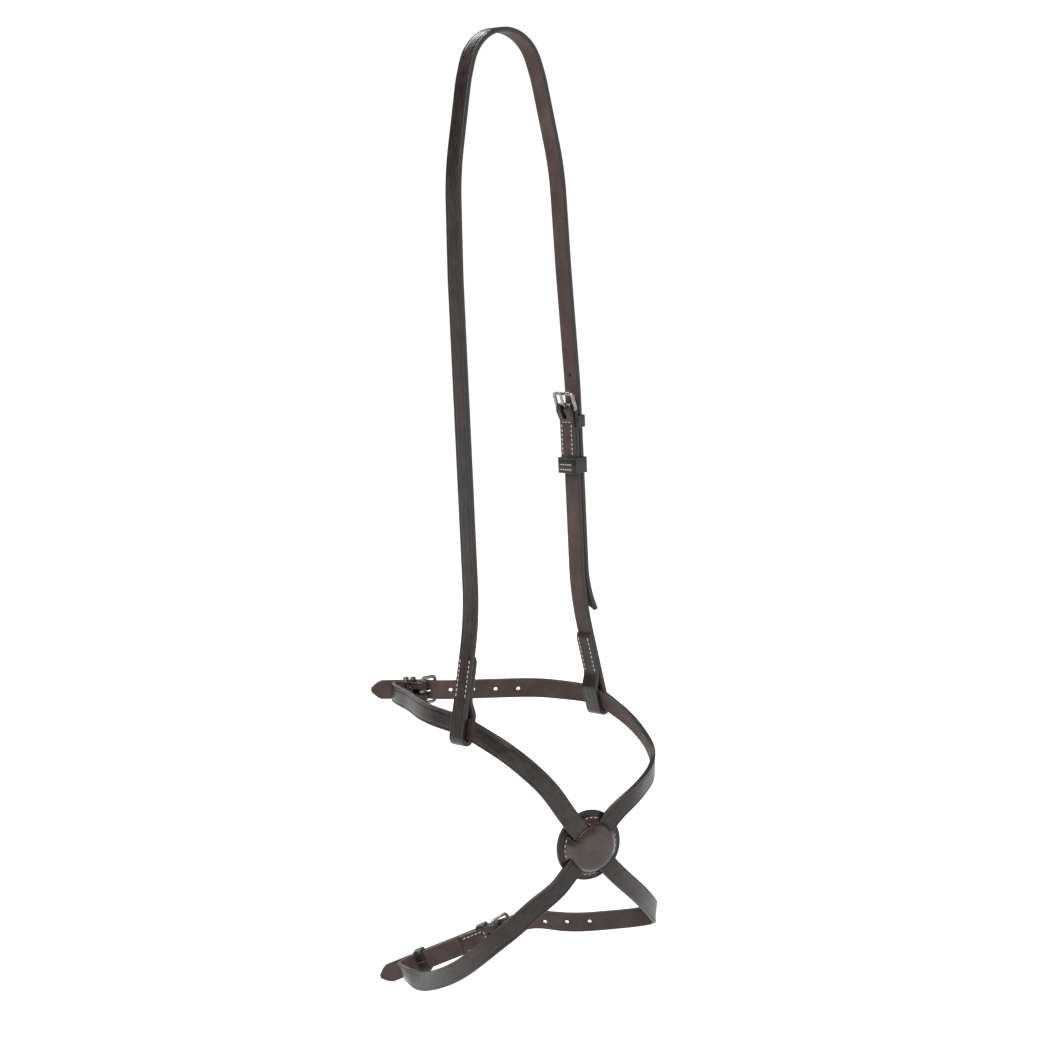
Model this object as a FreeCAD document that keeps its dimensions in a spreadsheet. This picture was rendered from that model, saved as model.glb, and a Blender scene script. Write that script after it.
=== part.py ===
"""Crossed (figure-eight) noseband on its own headpiece: bitless leather headgear.

Row frame: millimetres, +Z up, the horse looks along -Y, its near (left) side is +X.
The origin is the poll: the middle of the crown's underside.
"""
import FreeCAD
import Part
import Sketcher
import math
import os
from FreeCAD import Placement, Rotation, Vector

SIZES = (
    # strap stock
    ("strap_width", 16.0, "width of every strap"),
    ("strap_thickness", 3.8, "thickness of every strap"),
    ("turnback_thickness", 3.0, "skived thickness of a turned-back end"),
    ("lay_gap", 0.3, "clearance between pieces that lie on each other"),
    # headpiece arch, in its own leaning plane
    ("arch_lean", 3.9, "lean of the arch towards the nose, degrees"),
    ("cheek_half_span", 59.0, "middle of the arch to the middle of a cheek"),
    ("crown_radius", 37.0, "bend of the crown over the poll"),
    ("cheek_drop", 549.0, "poll to the middle of a cheek loop"),
    ("cheek_splay", 13.0, "outward turn of a cheek above its loop, degrees"),
    ("splay_start", 86.0, "cheek loop to the corner where the splay starts"),
    # cheek loops round the nose straps
    ("loop_half_width", 2.6, "half the loop's hollow across the strap"),
    ("loop_half_height", 11.8, "loop centre to the bottom of the hollow"),
    ("loop_stitch_length", 36.0, "stitched length of a loop's turned-back end"),
    # buckles
    ("buckle_wire", 3.0, "diameter of the buckle wire"),
    ("buckle_inner_width", 18.6, "clear width inside a buckle frame"),
    ("buckle_reach", 14.0, "hinge bar to front bar"),
    ("bar_clearance", 0.08, "running clearance round a hinge bar"),
    ("prong_wire", 2.4, "diameter of a prong"),
    ("crew_slot_width", 5.0, "width of the slot that the prong swings in"),
    ("hinge_height", 306.0, "poll to the hinge bar of the cheek buckle"),
    # keepers
    ("keeper_thickness", 2.0, "leather thickness of a keeper"),
    ("keeper_fit", 0.4, "clearance inside a keeper"),
    # holes
    ("hole_diameter", 3.4, "round holes of the billets"),
    ("tongue_hole_length", 7.2, "oval hole that carries an engaged prong"),
    ("tongue_hole_width", 4.4, "width of that oval hole"),
    ("headpiece_hole_pitch", 25.0, "hole to hole on the headpiece billet"),
    ("nose_hole_pitch", 19.0, "hole to hole on the nose straps"),
    # rosette
    ("rosette_turn", -14.0, "turn of the crossing towards the off side, degrees"),
    ("rosette_diameter", 58.0, "leather disc behind the crossing"),
    ("rosette_thickness", 3.2, "thickness of that disc"),
    ("cover_diameter", 49.0, "domed cover over the crossing"),
    ("cover_thickness", 2.4, "leather thickness of the cover"),
    # thread
    ("stitch_length", 2.6, "visible length of one stitch"),
    ("stitch_pitch", 3.6, "stitch to stitch"),
    ("thread_diameter", 0.7, "thickness of the thread"),
)

doc = FreeCAD.newDocument("crossed_noseband")
sheet = doc.addObject("Spreadsheet::Sheet", "sizes")
for row, (alias, value, meaning) in enumerate(SIZES, start=1):
    sheet.set(f"A{row}", alias)
    sheet.set(f"B{row}", str(value))
    sheet.setAlias(f"B{row}", alias)
    sheet.set(f"C{row}", meaning)
doc.recompute()


def size(alias):
    """A driving size, read from the sheet."""
    return float(sheet.get(alias))


WIDTH = size("strap_width")
THICK = size("strap_thickness")
SKIVED = size("turnback_thickness")
GAP = size("lay_gap")
BAR = size("buckle_wire") / 2
FOLD_IN = BAR + size("bar_clearance")
FOLD_OUT = FOLD_IN + THICK
LAYER_STEP = THICK + GAP
LEAN = Placement(Vector(), Rotation(Vector(1, 0, 0), -size("arch_lean")))
FINISHED = []


def finish_part(thing, label):
    """Name a sub-part and put it on the list of files to write."""
    thing.Label = label
    FINISHED.append(thing)
    return thing


# ---------------------------------------------------------------- outlines

class Outline:
    """A closed outline of straight runs and arcs in the plane of a sketch."""

    def __init__(self, start, place=lambda u, v: (u, v)):
        self.place = place
        self.first = self.last = self.spot(*start)
        self.parts = []

    def spot(self, u, v):
        return Vector(*self.place(u, v), 0)

    def line(self, *points):
        for point in points:
            end = self.spot(*point)
            if end.distanceToPoint(self.last) > 1e-6:
                self.parts.append(Part.LineSegment(self.last, end))
                self.last = end
        return self

    def arc(self, middle, end):
        end = self.spot(*end)
        self.parts.append(Part.Arc(self.last, self.spot(*middle), end))
        self.last = end
        return self

    def close(self):
        if self.last.distanceToPoint(self.first) > 1e-6:
            self.parts.append(Part.LineSegment(self.last, self.first))
        return self.parts


def turn_middle(centre, start, end):
    """The middle point of the shorter arc from start to end about centre."""
    radius = math.dist(centre, start)
    away = [start[i] + end[i] - 2 * centre[i] for i in (0, 1)]
    length = math.hypot(*away)
    return [centre[i] + away[i] * radius / length for i in (0, 1)]


def ribbon(route, thickness):
    """Outline of a strap seen on its edge: straight runs joined by tangent arcs.

    route is a list of (u, v, bend radius); the first and last radii are not used.
    """
    spots = [Vector(u, v, 0) for u, v, _ in route]
    sides = {1: [], -1: []}
    for index, spot in enumerate(spots):
        before = (spot - spots[index - 1]).normalize() if index else None
        after = (spots[index + 1] - spot).normalize() if index + 1 < len(spots) else None
        for side, points in sides.items():
            shift = side * thickness / 2
            if before is None or after is None:
                run = after or before
                points.append(("line", spot + Vector(-run.y, run.x, 0) * shift))
                continue
            turn = before.cross(after).z
            radius = route[index][2]
            reach = radius * math.tan(before.getAngle(after) / 2)
            inward = math.copysign(1, turn)
            start = spot - before * reach
            centre = start + Vector(-before.y, before.x, 0) * radius * inward
            end = spot + after * reach
            scale = 1 - shift * inward / radius
            start = centre + (start - centre) * scale
            end = centre + (end - centre) * scale
            middle = turn_middle(centre[:2], start[:2], end[:2])
            points += [("line", start), ("arc", Vector(*middle, 0), end)]
    outline = Outline(sides[1][0][1][:2])
    for kind, *points in sides[1][1:]:
        add_step(outline, kind, points)
    steps = sides[-1]
    outline.line(steps[-1][-1][:2])
    for index in range(len(steps) - 1, 0, -1):
        kind, *points = steps[index]
        target = steps[index - 1][-1]
        if kind == "arc":
            outline.arc(points[0][:2], target[:2])
        else:
            outline.line(target[:2])
    return outline.close()


def add_step(outline, kind, points):
    """Add one line or arc of a ribbon's side."""
    if kind == "arc":
        outline.arc(points[0][:2], points[1][:2])
    else:
        outline.line(points[0][:2])


def fold_outlines(length, lap, place):
    """A strap end turned back round a hinge bar, seen on its edge.

    u runs towards the front bar, v outwards, and the bar is at (0, 0). The straight
    layer reaches back by length and the turned-back layer by lap.
    """
    run_in = 9.0
    skive = 4.0
    inner = FOLD_IN - SKIVED
    outside = Outline((-length, FOLD_OUT), place)
    outside.line((0, FOLD_OUT)).arc((FOLD_OUT, 0), (0, -FOLD_OUT))
    outside.line((-run_in, inner), (skive - lap, inner), (-lap, FOLD_IN), (-length, FOLD_IN))
    tangent = math.radians(-110)
    hollow = Outline((0, FOLD_IN), place)
    hollow.arc((FOLD_IN, 0), (FOLD_IN * math.cos(tangent), FOLD_IN * math.sin(tangent)))
    hollow.line((1 - run_in, FOLD_IN - 0.3))
    return outside.close() + hollow.close()


def loop_outlines(top, place):
    """A cheek's end turned back round a nose strap, seen on its edge.

    u is outwards and v up the cheek; the nose strap passes at (0, 0). top is the height
    where the straight layer is cut square.
    """
    half = size("loop_half_width")
    outer = half + THICK
    low = half - size("loop_half_height")
    shoulder = size("loop_half_height") - 1.3
    joined = shoulder + 10
    end = joined + size("loop_stitch_length")
    inner = half - SKIVED
    skive = 4.0
    outside = Outline((outer, top), place)
    outside.line((outer, low)).arc((0, low - outer), (-outer, low))
    outside.line((-outer, shoulder), (inner, joined), (inner, end - skive), (half, end), (half, top))
    hollow = Outline((half, low), place)
    hollow.arc((0, low - half), (-half, low)).line((-half, shoulder), (half - 0.3, joined - 1))
    return outside.close() + hollow.close()


# ---------------------------------------------------------- features

def origin_plane(body, role):
    """One of a body's own origin planes."""
    return next(item for item in body.Origin.OriginFeatures if item.Role == role)


def flat_sketch(body, role, geometry, offset=None):
    """A sketch on one of the body's origin planes."""
    sketch = body.newObject("Sketcher::SketchObject", "outline")
    sketch.AttachmentSupport = [(origin_plane(body, role), "")]
    sketch.MapMode = "FlatFace"
    if offset is not None:
        sketch.AttachmentOffset = offset
    sketch.addGeometry(geometry, False)
    return sketch


def padded(body, role, geometry, length, offset=None):
    """A pad on both sides of its sketch; length is an expression."""
    pad = body.newObject("PartDesign::Pad", "pad")
    pad.Profile = flat_sketch(body, role, geometry, offset)
    pad.setExpression("Length", length)
    pad.Midplane = True
    return pad


def pocketed(body, role, geometry, length, offset=None):
    """A pocket on both sides of its sketch; length is an expression."""
    pocket = body.newObject("PartDesign::Pocket", "pocket")
    pocket.Profile = flat_sketch(body, role, geometry, offset)
    pocket.setExpression("Length", length)
    pocket.Midplane = True
    return pocket


def new_body(placement=None):
    """An empty body in a given place."""
    body = doc.addObject("PartDesign::Body", "body")
    if placement is not None:
        body.Placement = placement
    return body


def oval(centre_u, centre_v, length, width):
    """A slot with round ends; a length equal to the width is a round hole."""
    if length <= width:
        return [Part.Circle(Vector(centre_u, centre_v, 0), Vector(0, 0, 1), width / 2)]
    half = (length - width) / 2
    edge = width / 2
    slot = Outline((centre_u - half, centre_v + edge))
    slot.line((centre_u + half, centre_v + edge))
    slot.arc((centre_u + half + edge, centre_v), (centre_u + half, centre_v - edge))
    slot.line((centre_u - half, centre_v - edge))
    slot.arc((centre_u - half - edge, centre_v), (centre_u - half, centre_v + edge))
    return slot.close()


def box_outline(u_low, v_low, u_high, v_high):
    """A rectangle."""
    return Outline((u_low, v_low)).line((u_high, v_low), (u_high, v_high), (u_low, v_high)).close()


# ---------------------------------------------------------- headpiece and near cheek

SPAN = size("cheek_half_span")
SPLAY = math.radians(size("cheek_splay"))
LOOP_SHIFT = size("loop_half_width") + THICK / 2
LOOP_HEIGHT = -size("cheek_drop")
LOOP_MIDDLE = SPAN + size("splay_start") * math.tan(SPLAY)
LOOP_X = LOOP_MIDDLE - LOOP_SHIFT / math.cos(SPLAY)
HINGE_HEIGHT = -size("hinge_height")
LOOP_TOP = 60.0
SPLAY_BEND = 240.0


def cheek_spot(up, outward=0.0):
    """A point of the near cheek's splayed stretch, from the middle of its strap at the loop."""
    centre = (LOOP_X + LOOP_SHIFT * math.cos(SPLAY), LOOP_HEIGHT + LOOP_SHIFT * math.sin(SPLAY))
    return (centre[0] - up * math.sin(SPLAY) + outward * math.cos(SPLAY),
            centre[1] + up * math.cos(SPLAY) + outward * math.sin(SPLAY))


def loop_place(side):
    """Maps a loop's outline to the arch plane; side is +1 near, -1 off."""
    def place(u, v):
        x, z = cheek_spot(v, u - LOOP_SHIFT)
        return (side * x, z)
    return place


def splay_corner():
    """The corner between a cheek's upright and splayed runs."""
    low = cheek_spot(0)
    rise = (low[0] - SPAN) / math.tan(SPLAY)
    return (SPAN, low[1] + rise)


def crown_route(side):
    """The arch from the top of one cheek to the crown; side is +1 near, -1 off."""
    half_crown = size("crown_radius") * 0.72
    return [
        (side * (SPAN - 0.5), -190, 400),
        (side * (SPAN - 3), -110, 240),
        (side * (SPAN - 19), -36, 110),
        (side * half_crown, THICK / 2, size("crown_radius")),
    ]


def make_headpiece():
    """Off cheek with its sewn loop, the crown, and the near billet with its holes."""
    body = new_body(LEAN)
    corner = splay_corner()
    start = cheek_spot(LOOP_TOP - 2)
    billet_x = SPAN + LAYER_STEP
    tip = (billet_x + 8.6, HINGE_HEIGHT - 168)
    route = [(-start[0], start[1], 0), (-corner[0], corner[1], SPLAY_BEND)]
    route += crown_route(-1) + crown_route(1)[::-1]
    route += [(billet_x, HINGE_HEIGHT + 20, 400), (billet_x + 0.3, corner[1] + 11, 90), (*tip, 0)]
    padded(body, "XZ_Plane", ribbon(route, THICK), "sizes.strap_width")
    padded(body, "XZ_Plane", loop_outlines(LOOP_TOP, loop_place(-1)), "sizes.strap_width")
    # The tip is cut across at an angle.
    half = WIDTH / 2 + 1
    below = tip[1] - 12
    cut = Outline((-half, below)).line((half, below), (half, tip[1] - 1), (-half, tip[1] + 11))
    pocketed(body, "YZ_Plane", cut.close(), "40 mm", Placement(Vector(0, 0, tip[0]), Rotation()))
    pitch = size("headpiece_hole_pitch")
    top_hole = HINGE_HEIGHT + 28
    for index in range(6):
        hole = oval(0, top_hole - index * pitch, 0, size("hole_diameter"))
        pocketed(body, "YZ_Plane", hole, "20 mm", Placement(Vector(0, 0, billet_x), Rotation()))
    return finish_part(body, "headpiece")


def cheek_hinge_spot(u, v):
    """Maps the cheek buckle's edge view to the arch plane: u up the cheek, v outwards."""
    return (SPAN - FOLD_IN - THICK / 2 + v, HINGE_HEIGHT + u)


def make_near_cheek():
    """Short cheek: a sewn loop below and a buckle fold above."""
    body = new_body(LEAN)
    corner = splay_corner()
    start = cheek_spot(LOOP_TOP - 2)
    top = HINGE_HEIGHT - 55
    route = [(*start, 0), (*corner, SPLAY_BEND), (SPAN, top, 0)]
    padded(body, "XZ_Plane", ribbon(route, THICK), "sizes.strap_width")
    padded(body, "XZ_Plane", loop_outlines(LOOP_TOP, loop_place(1)), "sizes.strap_width")
    fold = fold_outlines(56, 50, cheek_hinge_spot)
    padded(body, "XZ_Plane", fold, "sizes.strap_width")
    slot = box_outline(-size("crew_slot_width") / 2, HINGE_HEIGHT - 7.5,
                       size("crew_slot_width") / 2, HINGE_HEIGHT + 8)
    pocketed(body, "YZ_Plane", slot, "30 mm", Placement(Vector(0, 0, SPAN), Rotation()))
    return finish_part(body, "near_cheek")


# ---------------------------------------------------------- buckle frames of reference

def buckle_place(hinge, along, outward):
    """Local frame of a buckle: X towards its front bar, Y across the strap, Z outwards."""
    x_axis = Vector(*along).normalize()
    z_axis = Vector(*outward)
    z_axis = (z_axis - x_axis * z_axis.dot(x_axis)).normalize()
    return Placement(Vector(*hinge), Rotation(x_axis, z_axis.cross(x_axis), z_axis, "XZY"))


LOOP_FORE = LOOP_HEIGHT * math.sin(math.radians(size("arch_lean")))
LOOP_Z = LOOP_HEIGHT * math.cos(math.radians(size("arch_lean")))
# Places on the noseband are stated for cheek loops at this y and z, and move with the loops.
STATED_FORE = -37.3402
STATED_Z = -547.7287
NOSE_SHIFT = Vector(0, LOOP_FORE - STATED_FORE, LOOP_Z - STATED_Z)
CHEEK_X = SPAN - FOLD_IN - THICK / 2
CHEEK_BUCKLE = LEAN.multiply(buckle_place((CHEEK_X, 0, HINGE_HEIGHT), (0, 0, 1), (1, 0, 0)))
UPPER_HINGE = Vector(-31, 64.3, -544) + NOSE_SHIFT
LOWER_HINGE = Vector(-3, 1, -746) + NOSE_SHIFT
UPPER_BUCKLE = buckle_place(UPPER_HINGE, (0.79, -0.613, 0), (0.613, 0.79, 0))
LOWER_BUCKLE = buckle_place(LOWER_HINGE, (0.548, -0.710, 0.42), (0.79, 0.61, 0))
LINE_Z = FOLD_IN + THICK / 2
OVER_Z = LINE_Z + LAYER_STEP


# ---------------------------------------------------------- nose straps

def station(x, y, z, facing, tilt=0.0):
    """Middle of the strap, with the way its outer face looks: azimuth and upward tilt."""
    facing, tilt = math.radians(facing), math.radians(tilt)
    outward = Vector(math.cos(tilt) * math.cos(facing), math.cos(tilt) * math.sin(facing), math.sin(tilt))
    return [Vector(x, y, z) + NOSE_SHIFT, outward, None]


def crossing_station(slope, along, step=0.0):
    """A station on a straight run over the rosette, at a distance along the strap's slope."""
    turn = math.radians(slope)
    spot = ROSETTE.multVec(Vector(along * math.cos(turn), -step, along * math.sin(turn)))
    return [spot, ROSETTE.Rotation.multVec(Vector(0, -1, 0)), None]


def buckle_station(place, u, v, lean=0.0):
    """A station in a buckle's frame; lean turns the strap outwards, in degrees."""
    turn = math.radians(lean)
    along = Vector(math.cos(turn), 0, math.sin(turn))
    outward = Vector(-math.sin(turn), 0, math.cos(turn))
    return [place.multVec(Vector(u, 0, v)), place.Rotation.multVec(outward), place.Rotation.multVec(along)]


def bend_stations(place, start_u, radius, sweep, count):
    """Stations round the tight turn behind a buckle, from its straight run inwards."""
    made = []
    for index in range(count + 1):
        angle = math.radians(90 + sweep * index / count)
        spot = Vector(start_u + radius * math.cos(angle), 0, LINE_Z - radius + radius * math.sin(angle))
        outward = Vector(math.cos(angle), 0, math.sin(angle))
        along = Vector(math.sin(angle), 0, -math.cos(angle))
        made.append([place.multVec(spot), place.Rotation.multVec(outward), place.Rotation.multVec(along)])
    return made


def ruled_face(first, second):
    """The face between two curves with the same knots."""
    surface = Part.BSplineSurface()
    poles = [list(pair) for pair in zip(first.getPoles(), second.getPoles())]
    surface.buildFromPolesMultsKnots(poles, first.getMultiplicities(), [2, 2], first.getKnots(), [0, 1],
                                     False, False, first.Degree, 1)
    return surface.toShape()


def strap_run(stations, name):
    """A strap of constant section: four edge curves through its stations, ruled faces between them."""
    curve = Part.BSplineCurve()
    lengths = [0.0]
    for (spot, *_), (ahead, *_) in zip(stations, stations[1:]):
        lengths.append(lengths[-1] + spot.distanceToPoint(ahead))
    curve.interpolate(Points=[item[0] for item in stations], Parameters=lengths)
    corners = []
    for (spot, outward, along), length in zip(stations, lengths):
        along = curve.tangent(length)[0] if along is None else along
        if along.dot(curve.tangent(length)[0]) < 0:
            along = along * -1
        outward = (outward - along * outward.dot(along)).normalize()
        across = outward.cross(along) * (WIDTH / 2)
        outward = outward * (THICK / 2)
        corners.append([spot + across + outward, spot - across + outward,
                        spot - across - outward, spot + across - outward])
    rails = []
    for rail in zip(*corners):
        edge = Part.BSplineCurve()
        edge.interpolate(Points=list(rail), Parameters=lengths)
        rails.append(edge)
    # Short patches between stations, because one long patch gives a poor exact volume.
    faces = []
    for start, end in zip(lengths, lengths[1:]):
        patch = [edge.copy() for edge in rails]
        for edge in patch:
            edge.segment(start, end)
        faces += [ruled_face(patch[i - 1], patch[i]) for i in range(4)]
    for ring in (corners[0], corners[-1][::-1]):
        faces.append(Part.Face(Part.makePolygon(ring + ring[:1])))
    shell = Part.makeShell(faces)
    shell.sewShape()
    solid = Part.makeSolid(shell)
    if solid.Volume < 0:
        solid.reverse()
    run = doc.addObject("Part::Feature", name + "_run")
    run.Shape = solid
    return run


def buckle_fold(place, length, lap, name):
    """The folded end that holds a nose strap's buckle, with the slot for its prong."""
    body = new_body(place)
    padded(body, "XZ_Plane", fold_outlines(length, lap, lambda u, v: (u, v)), "sizes.strap_width")
    slot = box_outline(-7.5, -size("crew_slot_width") / 2, 8, size("crew_slot_width") / 2)
    pocketed(body, "XY_Plane", slot, "30 mm")
    body.Label = name + "_fold"
    return body


def billet_cutters(place, spots, name):
    """Prisms that punch the holes of a billet at the spots of hole_spots."""
    cutters = []
    for u, v, length, width, lean in spots:
        body = new_body(place.multiply(Placement(Vector(u, 0, v), Rotation(Vector(0, 1, 0), -lean))))
        padded(body, "XY_Plane", oval(0, 0, length, width), "14 mm")
        body.Label = name + "_punch"
        cutters.append(body)
    return cutters


def run_cutters(spots, facing, name):
    """Prisms that punch round holes in a free run that faces one way, given as an azimuth."""
    turn = Rotation(Vector(0, 0, 1), facing).multiply(Rotation(Vector(0, 1, 0), 90))
    cutters = []
    for spot in spots:
        body = new_body(Placement(Vector(*spot) + NOSE_SHIFT, turn))
        width = size("hole_diameter")
        padded(body, "XY_Plane", oval(0, 0, width, width), "14 mm")
        body.Label = name + "_run_punch"
        cutters.append(body)
    return cutters


def tip_cutters(place, tip, name):
    """Two wedges that point a billet's tip, whose end is at u = -tip."""
    body = new_body(place)
    for side in (1, -1):
        corner = Outline((-tip - 1, side * 3)).line((1.2 - tip, side * 3))
        corner.line((9 - tip, side * (WIDTH / 2 + 0.1)), (9 - tip, side * (WIDTH / 2 + 2)))
        corner.line((-tip - 1, side * (WIDTH / 2 + 2)))
        padded(body, "XY_Plane", corner.close(), "30 mm", Placement(Vector(0, 0, OVER_Z), Rotation()))
    body.Label = name + "_tip_cut"
    return body


def strap_part(loft, fold, cutters, label):
    """A nose strap: its run and buckle fold joined, holes and tip cut."""
    joined = doc.addObject("Part::MultiFuse", label + "_joined")
    joined.Shapes = [loft, fold]
    tools = doc.addObject("Part::MultiFuse", label + "_cuts")
    tools.Shapes = cutters
    strap = doc.addObject("Part::Cut", label)
    strap.Base = joined
    strap.Tool = tools
    return finish_part(strap, label)


CROSSING = Vector(-3.6, -112.5, -645) + NOSE_SHIFT
ROSETTE = Placement(CROSSING, Rotation(Vector(0, 0, 1), size("rosette_turn")))
STRAP_1_SLOPE = -50
STRAP_2_SLOPE = 46.5
TONGUE_LEAN = -20.0
TONGUE_SPOT = (6.8, 5.5)
TONGUE_HOLE = (5.0, 6.15)
UNDER_BAR = 0.6
FREE_HOLE = 24.5
RUN_HOLES = ((23.8, -29.4, -735.5), (36.6, -42.8, -734.8), (49.4, -56.9, -733.6))
RUN_FACING = 41.5
TILT = size("cheek_splay")


def billet_stations(place, tip, reach):
    """The billet from its tip, over the fold, under the front bar, to the free run."""
    flat_end = 4
    step = (tip - flat_end) / 5
    straight = [buckle_station(place, index * step - tip, OVER_Z) for index in range(6)]
    return straight + [
        buckle_station(place, 1, OVER_Z - 0.3, -9),
        buckle_station(place, *TONGUE_SPOT, TONGUE_LEAN),
        buckle_station(place, 12, LINE_Z + 0.2, -11),
        buckle_station(place, 17, LINE_Z - UNDER_BAR),
        buckle_station(place, reach, LINE_Z - UNDER_BAR),
    ]


def hole_spots(count):
    """The engaged hole of a nose billet and its free ones: u, v, length, width and lean."""
    plain = size("hole_diameter")
    spots = [(*TONGUE_HOLE, size("tongue_hole_length"), size("tongue_hole_width"), TONGUE_LEAN)]
    for index in range(count):
        along = FREE_HOLE + index * size("nose_hole_pitch")
        spots.append((along, LINE_Z - UNDER_BAR, plain, plain, 0))
    return spots


def make_nose_strap_1():
    """Off buckle end above, over the crossing, to the near billet below."""
    stations = bend_stations(UPPER_BUCKLE, -17.8, 5.6, 107.4, 6)[::-1]
    stations = [buckle_station(UPPER_BUCKLE, -15.0, LINE_Z)] + stations[::-1]
    stations += [
        station(-60, 47, -544.5, 162, 2),
        station(-70, 18, -545.5, 166, 7),
        station(0.3 - LOOP_X, -12, -546.5, 173, 12),
        station(-LOOP_X, STATED_FORE, STATED_Z, 180, TILT),
        station(-0.3 - LOOP_X, -48, -549.3, 182, TILT),
        station(-0.2 - LOOP_X, -62, -552.5, 188, 12),
        station(-70.5, -85.5, -561, 205, 8),
        station(-61, -100, -573.5, 223, 4),
        station(-48, -109, -589.5, 240, 2),
        station(-33, -111, -609, 250, 0),
        *[crossing_station(STRAP_1_SLOPE, along, LAYER_STEP) for along in (-22, -11, 0, 11, 22)],
        station(30, -119.5, -681, 268, 0),
        station(52, -115, -698.5, 277, 0),
        station(74, -106, -716, 290, 0),
        station(82, -100, -723, 315, 0),
        station(84, -93.5, -727, 0, 0),
        station(80, -86.5, -729.5, 32, 0),
        station(60, -68.5, -732.5, 41, 0),
        station(34, -40, -735, 42, 0),
    ]
    stations += billet_stations(LOWER_BUCKLE, 113, 22)[::-1]
    loft = strap_run(stations, "nose_strap_1")
    fold = buckle_fold(UPPER_BUCKLE, 15.0, 14.6, "nose_strap_1")
    cutters = billet_cutters(LOWER_BUCKLE, hole_spots(1), "nose_strap_1")
    cutters += run_cutters(RUN_HOLES, RUN_FACING, "nose_strap_1")
    cutters.append(tip_cutters(LOWER_BUCKLE, 113, "nose_strap_1"))
    return strap_part(loft, fold, cutters, "nose_strap_1")


def make_nose_strap_2():
    """Off buckle end below, under the crossing, through the near loop to the upper billet."""
    stations = billet_stations(UPPER_BUCKLE, 42, 36)
    stations += [
        station(27, 22.5, -543.5, 50, 0),
        station(51, 3.5, -544, 48, 3),
        station(67, -13, -546, 30, 9),
        station(LOOP_X - 0.3, -26, -547, 5, TILT),
        station(LOOP_X, STATED_FORE, STATED_Z, 0, TILT),
        station(LOOP_X + 0.4, -47, -549.4, -2, TILT),
        station(LOOP_X + 2.2, -57, -554, -10, 11),
        station(80.5, -68, -561.5, -16, 8),
        station(85, -80, -573, -24, 3),
        station(87, -90, -586, -34, 0),
        station(79, -100, -597, -50, 0),
        station(60, -111, -604, -68, 0),
        station(36, -118.5, -611.5, -88, 0),
        *[crossing_station(STRAP_2_SLOPE, along) for along in (31, 22, 11, 0, -11, -22, -31, -40)],
        station(-48, -98, -689, -120, 0),
        station(-62, -88, -704.5, -138, 0),
        station(-73, -72, -722, -160, 0),
        station(-78, -40, -749, -178, 0),
        station(-74, -2, -770, -193, 0),
        station(-66, 32, -781, -200, 0),
    ]
    stations += bend_stations(LOWER_BUCKLE, -82, 7, 120, 7)[::-1]
    stations += [buckle_station(LOWER_BUCKLE, u, LINE_Z) for u in (-75, -66, -57, -48, -40)]
    loft = strap_run(stations, "nose_strap_2")
    fold = buckle_fold(LOWER_BUCKLE, 40.0, 34.0, "nose_strap_2")
    cutters = billet_cutters(UPPER_BUCKLE, hole_spots(4), "nose_strap_2")
    cutters.append(tip_cutters(UPPER_BUCKLE, 42, "nose_strap_2"))
    return strap_part(loft, fold, cutters, "nose_strap_2")


# ---------------------------------------------------------- rosette

def make_rosette_base():
    """Flat leather disc behind the crossing; its back is the nose rest."""
    middle = THICK / 2 + GAP + size("rosette_thickness") / 2
    body = new_body(ROSETTE.multiply(Placement(Vector(0, middle, 0), Rotation())))
    disc = [Part.Circle(Vector(), Vector(0, 0, 1), size("rosette_diameter") / 2)]
    pad = padded(body, "XZ_Plane", disc, "sizes.rosette_thickness")
    doc.recompute()
    rim = body.newObject("PartDesign::Chamfer", "rim")
    rim.Base = (pad, ["Edge1", "Edge3"])
    rim.Size = 0.8
    return finish_part(body, "rosette_base")


COVER_PLACE = ROSETTE.multiply(Placement(Vector(0, THICK / 2 + GAP / 2, 0), Rotation(Vector(1, 0, 0), 90)))
COVER_RIM = 1.6


def make_rosette_cover():
    """Domed leather cover sewn to the disc between the four arms."""
    radius = size("cover_diameter") / 2
    skin = size("cover_thickness")
    top = 2 * THICK + 4 * GAP
    body = new_body(COVER_PLACE)
    dome = Outline((0, top)).line((radius - 10, top - 0.2)).arc((radius - 6, top - 2.2), (radius - 4.4, 0))
    dome.line((radius, 0), (radius, COVER_RIM), (radius - 2.2, COVER_RIM))
    dome.arc((radius - 4.4, top - 0.4), (radius - 9, top + skin - 0.3)).line((0, top + skin))
    shell = body.newObject("PartDesign::Revolution", "dome")
    section = flat_sketch(body, "XZ_Plane", dome.close())
    shell.Profile = section
    shell.ReferenceAxis = (section, ["V_Axis"])
    shell.Angle = 360
    for slope, layers in ((STRAP_1_SLOPE, 2), (STRAP_2_SLOPE, 1)):
        for half in (0, 180):
            lane = box_outline(4, -WIDTH / 2 - 0.9, radius + 4, WIDTH / 2 + 0.9)
            turn = Placement(Vector(), Rotation(Vector(0, 0, 1), slope + half))
            pocketed(body, "XY_Plane", lane, f"{2 * (layers * THICK + (layers + 1) * GAP):.2f} mm", turn)
    return finish_part(body, "rosette_cover")


# ---------------------------------------------------------- buckles and keepers

CHEEK_FRAME_LEAN = 16.0
ENGAGED_LEAN = 33.5


def frame_turn(lean):
    """A buckle frame's own turn about its hinge bar; a positive lean lifts the front bar."""
    return Placement(Vector(), Rotation(Vector(0, 1, 0), -lean))


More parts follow.
